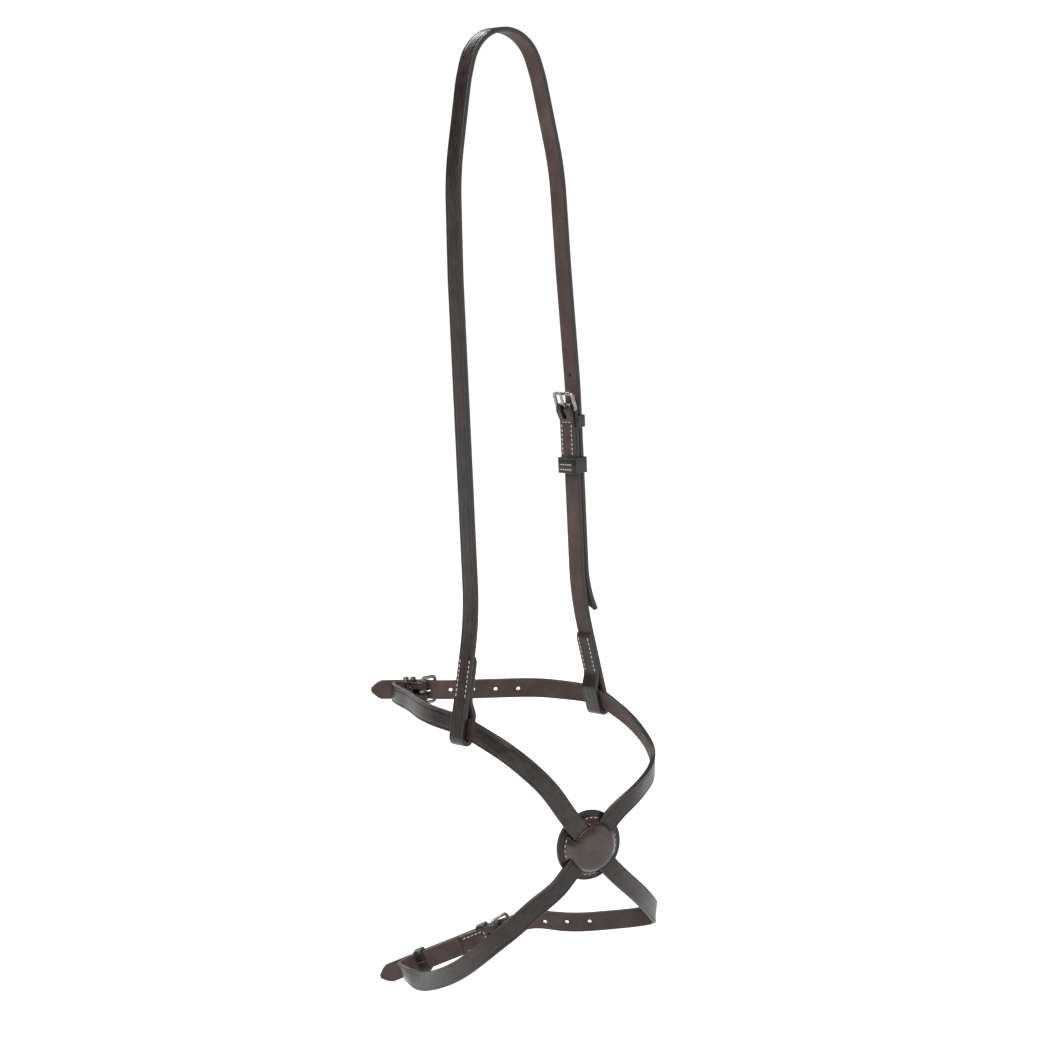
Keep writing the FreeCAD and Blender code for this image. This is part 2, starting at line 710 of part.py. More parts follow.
def make_buckle_frame(place, lean, label):
    """Rectangular wire frame with rounded corners."""
    body = new_body(place.multiply(frame_turn(lean)))
    reach = size("buckle_reach")
    half = size("buckle_inner_width") / 2 + BAR
    bend = 2.6
    far = bend * (1 - math.sqrt(0.5))
    path = Outline((0, 0)).line((0, half - bend)).arc((far, half - far), (bend, half))
    path.line((reach - bend, half)).arc((reach - far, half - far), (reach, half - bend))
    path.line((reach, bend - half)).arc((reach - far, far - half), (reach - bend, -half))
    path.line((bend, -half)).arc((far, far - half), (0, bend - half))
    spine = flat_sketch(body, "XY_Plane", path.close())
    wire = flat_sketch(body, "XZ_Plane", [Part.Circle(Vector(), Vector(0, 0, 1), BAR)])
    wire.addConstraint(Sketcher.Constraint("Diameter", 0, 2 * BAR))
    wire.setExpression("Constraints[0]", "sizes.buckle_wire")
    pipe = body.newObject("PartDesign::AdditivePipe", "frame")
    pipe.Profile = wire
    pipe.Spine = spine
    return finish_part(body, label)


def make_prong(place, frame_lean, side, label):
    """Buckle tongue: an eye round the hinge bar, and a tongue resting on the front bar.

    side is +1 where it rests on the bar's outer side and -1 on its inner side.
    """
    body = new_body(place)
    eye = FOLD_IN + 1.5
    ring = [Part.Circle(Vector(), Vector(0, 0, 1), radius) for radius in (eye, FOLD_IN)]
    padded(body, "XZ_Plane", ring, "sizes.prong_wire * 1.5")
    flat = size("prong_wire") * 0.85
    turn = math.radians(frame_lean)
    ahead = (math.cos(turn), math.sin(turn))
    aside = (-side * math.sin(turn), side * math.cos(turn))
    rest = BAR + flat / 2 + 0.12

    def spot(along, off):
        return [ahead[i] * along + aside[i] * off for i in (0, 1)]

    reach = size("buckle_reach")
    route = [(*spot(1.9, 1.1), 0), (*spot(reach * 0.55, rest), 14), (*spot(reach + 2.2, rest), 0)]
    padded(body, "XZ_Plane", ribbon(route, flat), "sizes.prong_wire")
    return finish_part(body, label)


def make_keeper(place, spot, length, low, high, closed, label):
    """A keeper band round the straps: closed, or open below where it is sewn in."""
    body = new_body(place.multiply(Placement(Vector(spot, 0, 0), Rotation())))
    fit = size("keeper_fit")
    skin = size("keeper_thickness")
    half = WIDTH / 2 + fit
    low, high = low - fit, high + fit
    corner = 1.6
    outer = Outline((half + skin, low - skin if closed else low + fit))
    outer.line((half + skin, high + skin - corner))
    outer.arc((half + skin - corner * 0.3, high + skin - corner * 0.3), (half + skin - corner, high + skin))
    outer.line((corner - half - skin, high + skin))
    outer.arc((corner * 0.3 - half - skin, high + skin - corner * 0.3), (-half - skin, high + skin - corner))
    if closed:
        outer.line((-half - skin, low - skin))
        shape = outer.close() + box_outline(-half, low, half, high)
    else:
        outer.line((-half - skin, low + fit), (-half, low + fit), (-half, high))
        outer.line((half, high), (half, low + fit))
        shape = outer.close()
    pad = padded(body, "YZ_Plane", shape, f"{length} mm")
    return finish_part(body, label)


def make_buckles_and_keepers():
    """Three buckles, each with its prong, sewn-in keeper and running keeper."""
    top = OVER_Z + THICK / 2
    base = FOLD_IN
    lap = FOLD_IN - SKIVED
    for name, place in (("upper", UPPER_BUCKLE), ("lower", LOWER_BUCKLE)):
        make_buckle_frame(place, ENGAGED_LEAN, name + "_buckle_frame")
        make_prong(place, ENGAGED_LEAN, 1, name + "_prong")
    make_buckle_frame(CHEEK_BUCKLE, -CHEEK_FRAME_LEAN, "cheek_buckle_frame")
    make_prong(CHEEK_BUCKLE, -CHEEK_FRAME_LEAN, -1, "cheek_prong")
    make_keeper(CHEEK_BUCKLE, -9.8, 10.0, base - 1, top, False, "cheek_fixed_keeper")
    make_keeper(CHEEK_BUCKLE, -46.0, 13.0, lap - 0.6, top, True, "cheek_running_keeper")
    make_keeper(UPPER_BUCKLE, -6.8, 4.6, base - 1, top, False, "upper_fixed_keeper")
    make_keeper(UPPER_BUCKLE, -12.6, 4.6, lap - 0.6, top, True, "upper_running_keeper")
    make_keeper(LOWER_BUCKLE, -12.0, 9.0, base - 1, top, False, "lower_fixed_keeper")
    make_keeper(LOWER_BUCKLE, -72.0, 8.0, base, top, True, "lower_running_keeper")


# ---------------------------------------------------------- stitching

def stitch(place, spot, along):
    """One stitch lying on the leather at spot, along the given direction."""
    thread = doc.addObject("Part::Cylinder", "stitch")
    thread.setExpression("Radius", "sizes.thread_diameter / 2")
    thread.setExpression("Height", "sizes.stitch_length")
    start = Vector(*spot) - Vector(*along).normalize() * (size("stitch_length") / 2)
    thread.Placement = place.multiply(Placement(start, Rotation(Vector(0, 0, 1), Vector(*along))))
    return thread


def stitch_line(place, start, end):
    """Evenly spaced stitches from start to end."""
    start, end = Vector(*start), Vector(*end)
    run = end - start
    count = max(int(run.Length / size("stitch_pitch")), 1)
    return [stitch(place, start + run * ((index + 0.5) / count), run) for index in range(count)]


def stitching(threads, label):
    """All the stitches of one seam as one sub-part."""
    seam = doc.addObject("Part::Compound", label)
    seam.Links = threads
    return finish_part(seam, label)


SEAM_INSET = 2.4
THREAD_LIFT = size("thread_diameter") / 2 + 0.05


def loop_stitching(side, label):
    """Two rows up a cheek's turned-back end, on its inner and outer faces."""
    low = size("loop_half_height") + 10.7
    high = low + size("loop_stitch_length") - 5
    place = loop_place(side)
    threads = []
    for u in (size("loop_half_width") + THICK + THREAD_LIFT, size("loop_half_width") - SKIVED - THREAD_LIFT):
        for y in (SEAM_INSET - WIDTH / 2, WIDTH / 2 - SEAM_INSET):
            (x1, z1), (x2, z2) = place(u, low), place(u, high)
            threads += stitch_line(LEAN, (x1, y, z1), (x2, y, z2))
    return stitching(threads, label)


def fold_stitching(place, near, far, label):
    """Rows along a buckle's turned-back end and one row across it, on the inner face."""
    v = FOLD_IN - SKIVED - THREAD_LIFT
    half = WIDTH / 2 - SEAM_INSET
    threads = []
    if far - near > size("stitch_pitch"):
        for y in (-half, half):
            threads += stitch_line(place, (-near - 1.5, y, v), (-far, y, v))
    threads += stitch_line(place, (-near, -half, v), (-near, half, v))
    return stitching(threads, label)


def rosette_stitching():
    """An arc of stitches on the cover's rim in each gap between two arms."""
    radius = size("cover_diameter") / 2 - 1.1
    arm = math.degrees(math.asin((WIDTH / 2 + 2.6) / radius))
    lift = COVER_RIM + THREAD_LIFT
    arms = [turn + slope for turn in (0, 180, 360) for slope in (STRAP_1_SLOPE, STRAP_2_SLOPE)]
    threads = []
    for low, high in zip(arms[1:], arms[2:]):
        low, high = low + arm, high - arm
        count = max(int(math.radians(high - low) * radius / size("stitch_pitch")), 1)
        for index in range(count):
            angle = math.radians(low + (high - low) * (index + 0.5) / count)
            spot = (radius * math.cos(angle), radius * math.sin(angle), lift)
            threads.append(stitch(COVER_PLACE, spot, (-math.sin(angle), math.cos(angle), 0)))
    return stitching(threads, "rosette_stitching")


def make_stitching():
    """Every seam of the object."""
    loop_stitching(-1, "off_loop_stitching")
    loop_stitching(1, "near_loop_stitching")
    fold_stitching(CHEEK_BUCKLE, 10.5, 38, "cheek_buckle_stitching")
    fold_stitching(UPPER_BUCKLE, 9.5, 9.5, "upper_buckle_stitching")
    fold_stitching(LOWER_BUCKLE, 10.5, 30, "lower_buckle_stitching")
    rosette_stitching()


# ---------------------------------------------------------- write

def check_and_write():
    """Refuse a failed document, then write one file for each sub-part."""
    doc.recompute()
    for thing in doc.Objects:
        if {"Invalid", "Error"} & set(thing.State):
            raise RuntimeError(f"{thing.Name} ({thing.Label}): {thing.State}")
    os.makedirs("parts", exist_ok=True)
    for part in FINISHED:
        shape = part.Shape
        if shape.isNull() or not shape.isValid() or not shape.Solids:
            raise RuntimeError(f"{part.Label} has no valid shape")
        print(f"{part.Label}: {len(shape.Solids)} solid, {shape.Volume:.0f} mm3, {shape.BoundBox}")
        shape.exportStep(f"parts/{part.Label}.step")


make_headpiece()
make_near_cheek()
make_nose_strap_1()
make_nose_strap_2()
make_rosette_base()
make_rosette_cover()
make_buckles_and_keepers()
make_stitching()
check_and_write()
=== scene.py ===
"""Crossed (figure-eight) noseband on its headpiece: the looks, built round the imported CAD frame.

Lengths are worked out in millimetres, in the CAD's frame, and turned into metres when a mesh
is made. Every strap is swept along its own route as one continuous piece of leather, from one
cut end to the other, with its turned-back ends, punched holes and creased edges.
"""
import math

import bpy
import numpy as np
from mathutils import Matrix, Vector


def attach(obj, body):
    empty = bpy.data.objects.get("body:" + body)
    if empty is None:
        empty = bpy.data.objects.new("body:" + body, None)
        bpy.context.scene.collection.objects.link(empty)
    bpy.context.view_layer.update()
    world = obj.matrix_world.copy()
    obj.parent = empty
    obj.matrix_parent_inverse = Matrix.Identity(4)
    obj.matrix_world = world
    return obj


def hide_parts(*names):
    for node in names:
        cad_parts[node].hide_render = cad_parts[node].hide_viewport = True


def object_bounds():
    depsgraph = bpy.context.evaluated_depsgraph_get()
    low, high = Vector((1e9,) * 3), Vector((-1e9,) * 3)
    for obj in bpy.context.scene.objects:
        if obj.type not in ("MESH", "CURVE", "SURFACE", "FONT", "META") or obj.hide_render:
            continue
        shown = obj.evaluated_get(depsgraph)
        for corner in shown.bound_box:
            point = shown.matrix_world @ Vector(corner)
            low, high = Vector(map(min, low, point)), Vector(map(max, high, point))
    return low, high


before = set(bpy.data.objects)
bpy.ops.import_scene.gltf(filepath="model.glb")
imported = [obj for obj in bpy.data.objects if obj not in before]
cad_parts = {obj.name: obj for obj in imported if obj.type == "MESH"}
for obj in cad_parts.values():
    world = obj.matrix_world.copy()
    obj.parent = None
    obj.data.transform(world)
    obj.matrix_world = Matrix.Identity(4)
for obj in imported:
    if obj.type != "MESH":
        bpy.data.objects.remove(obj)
cad_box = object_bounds()

MM = 0.001


def turned(degrees, axis):
    """A turn about one axis, as a 4 x 4 matrix."""
    return Matrix.Rotation(math.radians(degrees), 4, axis)


# ---------------------------------------------------------- sizes, in millimetres and degrees

WIDTH = 16.0
THICK = 3.8
SKIVED = 3.0
SKIVED_END = 0.7
GAP = 0.3
STEP = THICK + GAP
EDGE_LINE = 2.4  # the creased line's distance from a strap's edge
THREAD = 0.7
STITCH_PITCH = 3.6

# Buckles: bar radius, and the strap's layers above the hinge bar's axis.
BAR = 1.5
FOLD_IN = BAR + 0.08
LINE = FOLD_IN + THICK / 2
OVER = LINE + STEP
UNDER_BAR = LINE - 0.6
KEEPER_TOP = OVER + THICK / 2
FOLD_FACE = FOLD_IN - SKIVED
UPPER_LAP, LOWER_LAP = 14.6, 34
REACH = 14.0
FRAME_HALF = 18.6 / 2 + BAR
PRONG_FLAT = 2.4 * 0.85
ENGAGED_LEAN = 33.5
CHEEK_LEAN = -16.0

# Headpiece arch and cheek loops, in the arch's own leaning plane.
ARCH = turned(-3.9, "X")
SPAN = 59.0
CROWN_RADIUS = 37
CHEEK_DROP = 549.0
HINGE_DROP = 306.0
SPLAY = math.radians(13)
SPLAY_BEND = 240
LOOP_HALF = 2.6
LOOP_REACH = 11.8
LOOP_STITCHED = 36
LOOP_LOW = LOOP_HALF - LOOP_REACH
LOOP_SHIFT = LOOP_HALF + THICK / 2
LOOP_X = SPAN + 86 * math.tan(SPLAY) - LOOP_SHIFT / math.cos(SPLAY)
_, LOOP_FORE, LOOP_Z = ARCH @ Vector((0, 0, -CHEEK_DROP))

# Holes: the round ones, the long one that carries an engaged prong, and three on a free run.
HOLE = 3.4
TONGUE_LONG, TONGUE_WIDE = 7.2, 4.4
TONGUE_LEAN = -20.0
TONGUE_SPOT = (6.8, 5.5)
TONGUE_HOLE = (5.0, 6.15)
HEADPIECE_PITCH = 25
NOSE_PITCH = 19
RUN_HOLES = ((23.8, -29.4, -735.5), (36.6, -42.8, -734.8), (49.4, -56.9, -733.6))
RUN_FACING = 41.5

# Rosette: the crossing's frame, the slopes of the two straps, disc and cover.
ROSETTE_TURN = -14.0
ROSETTE = Matrix.Translation((-3.6, -112.5, -645)) @ turned(ROSETTE_TURN, "Z")
STRAP_1_SLOPE, STRAP_2_SLOPE = -50.0, 46.5
DISC_RADIUS, DISC_THICK = 29.0, 3.2
COVER_RADIUS, COVER_SKIN = 24.5, 2.4
DISC_PLACE = ROSETTE @ Matrix.Translation((0, THICK / 2 + GAP, 0)) @ turned(90, "X")
COVER_PLACE = ROSETTE @ Matrix.Translation((0, THICK / 2 + GAP / 2, 0)) @ turned(90, "X")


def buckle_place(hinge, along, outward):
    """Local frame of a buckle: X towards its front bar, Y across the strap, Z outwards."""
    x = Vector(along).normalized()
    z = Vector(outward)
    z = (z - x * z.dot(x)).normalized()
    turn = Matrix((x, z.cross(x), z)).transposed().to_4x4()
    return Matrix.Translation(hinge) @ turn


CHEEK_X = SPAN - FOLD_IN - THICK / 2
CHEEK_BUCKLE = ARCH @ buckle_place((CHEEK_X, 0, -HINGE_DROP), (0, 0, 1), (1, 0, 0))
UPPER_BUCKLE = buckle_place((-31, 64.3, -544), (0.79, -0.613, 0), (0.613, 0.79, 0))
LOWER_BUCKLE = buckle_place((-3, 1, -746), (0.548, -0.710, 0.42), (0.79, 0.61, 0))


# ---------------------------------------------------------- materials

def fill(item, inputs):
    """Sets a node's sockets: a socket is linked, anything else is its value."""
    for key, value in inputs.items():
        if isinstance(value, bpy.types.NodeSocket):
            item.id_data.links.new(value, item.inputs[key])
        else:
            item.inputs[key].default_value = value


def material(name):
    """A node material: the material, a maker of nodes, and a setter of its shader's sockets."""
    made = bpy.data.materials.new(name)
    made.use_nodes = True
    tree = made.node_tree

    def node(kind, inputs=None, **settings):
        item = tree.nodes.new(kind)
        for key, value in settings.items():
            setattr(item, key, value)
        fill(item, inputs or {})
        return item

    def shade(inputs):
        fill(tree.nodes["Principled BSDF"], inputs)

    return made, node, shade


def ramp(node, value, stops):
    """A colour ramp over a value; stops are (position, colour)."""
    item = node("ShaderNodeValToRGB", {"Fac": value})
    bands = item.color_ramp.elements
    while len(bands) < len(stops):
        bands.new(0.5)
    for band, (position, colour) in zip(bands, stops):
        band.position = position
        band.color = (*colour, 1)
    return item.outputs["Color"]


def grey_ramp(node, value, low, dark, high, light):
    """A ramp of plain values, for roughness."""
    return ramp(node, value, [(low, (dark, dark, dark)), (high, (light, light, light))])


def average(node, first, second):
    total = node("ShaderNodeMath", {0: first, 1: second}, operation="ADD").outputs["Value"]
    return node("ShaderNodeMath", {0: total, 1: 0.5}, operation="MULTIPLY").outputs["Value"]


def strap_coordinates(node, stretch):
    """Coordinates that run along and across a strap, in centimetres, stretched per axis."""
    place = node("ShaderNodeUVMap", uv_map="strap").outputs["UV"]
    return node("ShaderNodeMapping", {"Vector": place, "Scale": stretch}).outputs["Vector"]


def noise(node, vector, scale, detail=3.0, rough=0.55):
    return node("ShaderNodeTexNoise", {"Vector": vector, "Scale": scale, "Detail": detail,
                                       "Roughness": rough}).outputs["Fac"]


def bump(node, height, strength, distance, under=None):
    inputs = {"Height": height, "Strength": strength, "Distance": distance}
    if under is not None:
        inputs["Normal"] = under
    return node("ShaderNodeBump", inputs).outputs["Normal"]


def grain_leather(name, dark, light, roughness, coat):
    """Waxed bridle leather, grain side: pores, broad wax clouds and streaks along the strap."""
    made, node, shade = material(name)
    body = node("ShaderNodeTexCoord").outputs["Object"]
    clouds = noise(node, body, 55.0, 4.0)
    streaks = noise(node, strap_coordinates(node, (0.35, 2.2, 1)), 3.2, 4.0)
    fine = noise(node, body, 900.0, 3.0)
    between = tuple((a + b) / 2 for a, b in zip(dark, light))
    cells = node("ShaderNodeTexVoronoi", {"Vector": body, "Scale": 1500.0}).outputs["Distance"]
    pores = bump(node, cells, 0.32, 0.00012)
    creases = bump(node, fine, 0.25, 0.00012, pores)
    shade({"Base Color": ramp(node, average(node, clouds, streaks),
                              [(0.38, dark), (0.52, between), (0.66, light)]),
           "Roughness": grey_ramp(node, clouds, 0.3, roughness - 0.06, 0.7, roughness + 0.1),
           "Normal": bump(node, noise(node, body, 160.0, 2.0), 0.3, 0.0006, creases),
           "Specular IOR Level": 0.32, "Coat Weight": coat, "Coat Roughness": 0.3})
    return made


def flesh_leather():
    """The brown flesh side: matt, with fibres along the strap."""
    made, node, shade = material("flesh_side")
    fibres = noise(node, strap_coordinates(node, (0.5, 5.0, 1)), 5.0, 6.0, 0.65)
    body = node("ShaderNodeTexCoord").outputs["Object"]
    clouds = noise(node, body, 45.0, 3.0)
    nap = bump(node, fibres, 0.5, 0.0003)
    shade({"Base Color": ramp(node, average(node, fibres, clouds),
                              [(0.3, (0.022, 0.013, 0.012)), (0.5, (0.048, 0.029, 0.026)),
                               (0.72, (0.088, 0.058, 0.051))]),
           "Roughness": grey_ramp(node, fibres, 0.3, 0.55, 0.7, 0.8),
           "Normal": bump(node, noise(node, body, 1300.0, 3.0), 0.4, 0.0002, nap),
           "Specular IOR Level": 0.3, "Sheen Weight": 0.05, "Sheen Roughness": 0.5})
    return made


def edge_leather():
    """Dyed and burnished cut edges: black, with fine layers along the strap."""
    made, node, shade = material("burnished_edge")
    layers = noise(node, strap_coordinates(node, (0.4, 16.0, 1)), 4.0, 4.0)
    shade({"Base Color": ramp(node, layers, [(0.3, (0.006, 0.005, 0.005)),
                                             (0.7, (0.022, 0.018, 0.016))]),
           "Roughness": grey_ramp(node, layers, 0.3, 0.34, 0.7, 0.5),
           "Normal": bump(node, layers, 0.35, 0.0002)})
    return made


def buckle_steel():
    """Brushed, slightly warm steel with fine scratches and duller hollows."""
    made, node, shade = material("buckle_steel")
    scratches = noise(node, strap_coordinates(node, (0.6, 14.0, 1)), 9.0, 5.0, 0.7)
    spots = noise(node, node("ShaderNodeTexCoord").outputs["Object"], 420.0, 4.0)
    shade({"Base Color": ramp(node, spots, [(0.3, (0.17, 0.17, 0.145)), (0.5, (0.29, 0.29, 0.25)),
                                            (0.75, (0.39, 0.39, 0.34))]),
           "Roughness": grey_ramp(node, scratches, 0.3, 0.26, 0.7, 0.44),
           "Normal": bump(node, scratches, 0.2, 0.0001),
           "Metallic": 1.0})
    return made


def linen_thread():
    """Waxed linen thread with its twist."""
    made, node, shade = material("linen_thread")
    twist = node("ShaderNodeTexWave", {"Vector": strap_coordinates(node, (1, 1, 1)), "Scale": 9.0,
                                       "Distortion": 1.2, "Detail": 1.0},
                 bands_direction="DIAGONAL").outputs["Fac"]
    shade({"Base Color": ramp(node, twist, [(0.0, (0.27, 0.22, 0.19)), (0.6, (0.55, 0.49, 0.44)),
                                            (1.0, (0.66, 0.60, 0.55))]),
           "Normal": bump(node, twist, 0.5, 0.0002),
           "Roughness": 0.62})
    return made


GRAIN = grain_leather("grain_side", (0.0040, 0.0026, 0.0023), (0.031, 0.021, 0.018), 0.32, 0.15)
KEEPER_GRAIN = grain_leather("keeper_grain", (0.004, 0.0030, 0.0028), (0.020, 0.014, 0.012), 0.32, 0.25)
DOME_GRAIN = grain_leather("dome_grain", (0.006, 0.0028, 0.0024), (0.046, 0.023, 0.018), 0.17, 0.6)
FOLD_GRAIN = grain_leather("fold_grain", (0.0120, 0.0062, 0.0055), (0.062, 0.035, 0.030), 0.42, 0.05)
FLESH = flesh_leather()
EDGE = edge_leather()
STEEL = buckle_steel()
LINEN = linen_thread()
LEATHER = (GRAIN, EDGE, FLESH)
KEEPER_LEATHER = (KEEPER_GRAIN, EDGE, FLESH)


# ---------------------------------------------------------- meshes

def mesh_piece(name, points, faces, kinds, laid, materials, body, nodes):
    """A piece from points in millimetres; kinds picks each face's material, laid its corner UVs."""
    mesh = bpy.data.meshes.new(name)
    mesh.from_pydata([tuple(c * MM for c in p) for p in points], [], faces)
    layer = mesh.uv_layers.new(name="strap")
    layer.data.foreach_set("uv", np.asarray(laid, np.float32).ravel())
    for item in materials:
        mesh.materials.append(item)
    mesh.polygons.foreach_set("material_index", kinds)
    mesh.polygons.foreach_set("use_smooth", [True] * len(faces))
    mesh.update()
    piece = bpy.data.objects.new(name, mesh)
    bpy.context.scene.collection.objects.link(piece)
    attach(piece, body)
    if nodes:
        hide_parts(*nodes)
    return piece


def run_along(spots):
    """Distance of each point from the first one, along the line through them."""
    return np.concatenate([[0], np.cumsum(np.linalg.norm(np.diff(spots, axis=0), axis=1))])


def sweep(name, route, section, kinds, materials, body, nodes, closed=False):
    """A section carried along a route.

    section gives the section's points (across, outward) at one step of the route. kinds has one
    material index for each side of the section, and one more for the two ends of an open sweep.
    """
    rings = [section(route, i) for i in range(len(route.spot))]
    count, sides = len(rings), len(rings[0])
    points = []
    for i, ring in enumerate(rings):
        for a, b in ring:
            points.append(route.spot[i] + route.across[i] * a + route.outward[i] * b)
    girth = np.array(rings[count // 2])
    # The corner coordinates are in centimetres.
    run, around = run_along(route.spot) / 10, run_along(np.vstack([girth, girth[:1]])) / 10
    faces, materials_of, laid = [], [], []
    for i in range(count if closed else count - 1):
        j = (i + 1) % count
        far = run[j] if j else run[-1] + 0.1
        for k in range(sides):
            m = (k + 1) % sides
            faces.append((i * sides + k, j * sides + k, j * sides + m, i * sides + m))
            laid += [(run[i], around[k]), (far, around[k]),
                     (far, around[k + 1]), (run[i], around[k + 1])]
            materials_of.append(kinds[k])
    if not closed:
        for ring, start in ((range(sides), 0), (range(sides - 1, -1, -1), (count - 1) * sides)):
            faces.append(tuple(start + k for k in ring))
            laid += [tuple(rings[0][k]) for k in ring]
            materials_of.append(kinds[sides])
    return mesh_piece(name, points, faces, materials_of, laid, materials, body, nodes)


class Route:
    """A course: spot, across and outward at each step, with thickness and limits of the width."""

    def __init__(self, spot, across, outward, thick):
        self.spot, self.across, self.outward = (np.array(x, float) for x in (spot, across, outward))
        self.thick = np.array(thick, float)
        self.low = np.full(len(self.spot), -WIDTH / 2)
        self.high = np.full(len(self.spot), WIDTH / 2)

    def joined(self, other):
        """This route and then the other one, both at full width."""
        return Route(*(np.concatenate([getattr(self, key), getattr(other, key)])
                       for key in ("spot", "across", "outward", "thick")))

    def from_end(self):
        """Distance of each step from the route's last step."""
        run = run_along(self.spot)
        return run[-1] - run


def rounded(corners, pitch=1.5):
    """Evenly spaced (a, b, thickness) along a line of corners (a, b, radius, thickness)."""
    dense = []
    for i, (a, b, radius, thick) in enumerate(corners):
        here = np.array([a, b, thick])
        if radius == 0 or i in (0, len(corners) - 1):
            dense.append(here)
            continue
        before, after = (np.array([*corners[j][:2], corners[j][3]]) for j in (i - 1, i + 1))
        back, ahead = before - here, after - here
        back_run, ahead_run = np.linalg.norm(back[:2]), np.linalg.norm(ahead[:2])
        cosine = np.clip(back[:2] @ ahead[:2] / (back_run * ahead_run), -1, 1)
        turn = math.pi - math.acos(cosine)
        cut = radius * math.tan(turn / 2)
        start, end = here + back * (cut / back_run), here + ahead * (cut / ahead_run)
        for step in range(13):
            t = step / 12
            # A circular corner, written as a rational curve.
            parts = ((1 - t) ** 2, 2 * t * (1 - t) * math.cos(turn / 2), t * t)
            dense.append((start * parts[0] + here * parts[1] + end * parts[2]) / sum(parts))
    dense = np.array(dense)
    gaps = np.linalg.norm(np.diff(dense[:, :2], axis=0), axis=1)
    dense = dense[np.concatenate([[True], gaps > 1e-6])]
    run = run_along(dense[:, :2])
    at = np.linspace(0, run[-1], max(int(run[-1] / pitch), 2) + 1)
    return np.column_stack([np.interp(at, run, dense[:, k]) for k in range(3)])


def flat_route(points, place, hand):
    """A route in a plane: points are (a, b, thickness), place maps (a, b) to a point in space.

    hand is +1 where the grain side is on the left of the way walked, -1 on the right.
    """
    flat = points[:, :2]
    way = np.gradient(flat, axis=0)
    way /= np.linalg.norm(way, axis=1)[:, None]
    left = np.column_stack([-way[:, 1], way[:, 0]]) * hand
    spot = np.array([place @ Vector((a, 0, b)) for a, b in flat])
    turn = place.to_3x3()
    outward = np.array([turn @ Vector((a, 0, b)) for a, b in left])
    forward = np.array([turn @ Vector((a, 0, b)) for a, b in way])
    return Route(spot, np.cross(outward, forward), outward, points[:, 2])


def spline(values, knots, at):
    """Smooth cubic curve through values, its end slopes from the first and last four values."""
    values, knots = np.array(values, float), np.array(knots, float)
    gaps = np.diff(knots)
    rise = np.diff(values, axis=0) / gaps[:, None]
    count = len(knots)
    matrix, right = np.zeros((count, count)), np.zeros_like(values)
    for row, some in ((0, slice(0, 4)), (count - 1, slice(count - 4, count))):
        matrix[row, row] = 1
        right[row] = np.polyfit(knots[some] - knots[row], values[some], 3)[2]
    for i in range(1, count - 1):
        matrix[i, i - 1:i + 2] = gaps[i], 2 * (gaps[i - 1] + gaps[i]), gaps[i - 1]
        right[i] = 3 * (gaps[i] * rise[i - 1] + gaps[i - 1] * rise[i])
    slopes = np.linalg.solve(matrix, right)
    span = np.clip(np.searchsorted(knots, at, side="right") - 1, 0, count - 2)
    t = ((at - knots[span]) / gaps[span])[:, None]
    wide = gaps[span][:, None]
    return ((2 * t ** 3 - 3 * t ** 2 + 1) * values[span]
            + (t ** 3 - 2 * t ** 2 + t) * wide * slopes[span]
            + (3 * t ** 2 - 2 * t ** 3) * values[span + 1]
            + (t ** 3 - t ** 2) * wide * slopes[span + 1])


def station_route(stations, pitch=1.5):
    """A route through stations of (spot, outward, along or None)."""
    spots = np.array([item[0] for item in stations], float)
    knots = run_along(spots)
    nudge = 1e-3
    ways = spline(spots, knots, np.clip(knots + nudge, 0, knots[-1]))
    ways = ways - spline(spots, knots, np.clip(knots - nudge, 0, knots[-1]))
    across, outward = [], []
    for (_, out, along), way in zip(stations, ways):
        way = way / np.linalg.norm(way)
        if along is not None:
            along = np.array(along, float)
            way = along if along @ way > 0 else -along
        out = np.array(out, float)
        out = out - way * (out @ way)
        out /= np.linalg.norm(out)
        outward.append(out)
        across.append(np.cross(out, way))
    at = np.union1d(np.linspace(0, knots[-1], int(knots[-1] / pitch) + 1), knots)
    at = at[np.concatenate([[True], np.diff(at) > 0.2])]
    return Route(spline(spots, knots, at), spline(across, knots, at), spline(outward, knots, at),
                 np.full(len(at), THICK))


# Strap section, from the grain side's near edge round to the flesh side: distance in from the
# edge, and distance down from the grain or up from the flesh face.
GRAIN_EDGE = ((0.0, 0.85), (0.10, 0.42), (0.36, 0.12), (0.85, 0.0), (1.75, 0.0), (2.05, 0.07),
              (EDGE_LINE, 0.26), (2.75, 0.07), (3.05, 0.0), (5.2, 0.0))
FLESH_EDGE = ((0.0, 0.7), (0.12, 0.3), (0.4, 0.07), (0.9, 0.0), (4.5, 0.0))


def strap_section(route, i):
    """Rounded and creased cross-section of a strap at one step."""
    low, high, thick = route.low[i], route.high[i], route.thick[i]
    narrow = min((high - low) / WIDTH, 1.0)
    thin = min(thick / THICK, 1.0)
    ring = []
    for edge, side in ((high, -1), (low, 1)):
        band = [(edge + side * inset * narrow, thick / 2 - down * thin) for inset, down in GRAIN_EDGE]
        ring += band if side == -1 else band[::-1]
    for edge, side in ((low, 1), (high, -1)):
        band = [(edge + side * inset * narrow, up * thin - thick / 2) for inset, up in FLESH_EDGE]
        ring += band if side == 1 else band[::-1]
    return ring


GRAIN_COUNT, FLESH_COUNT = len(GRAIN_EDGE), len(FLESH_EDGE)
STRAP_KINDS = ([1, 1, 1] + [0] * (2 * GRAIN_COUNT - 7) + [1, 1, 1, 1]
               + [1, 1] + [2] * (2 * FLESH_COUNT - 5) + [1, 1, 1] + [1])


PUNCH = 9  # half the depth that a cutter reaches


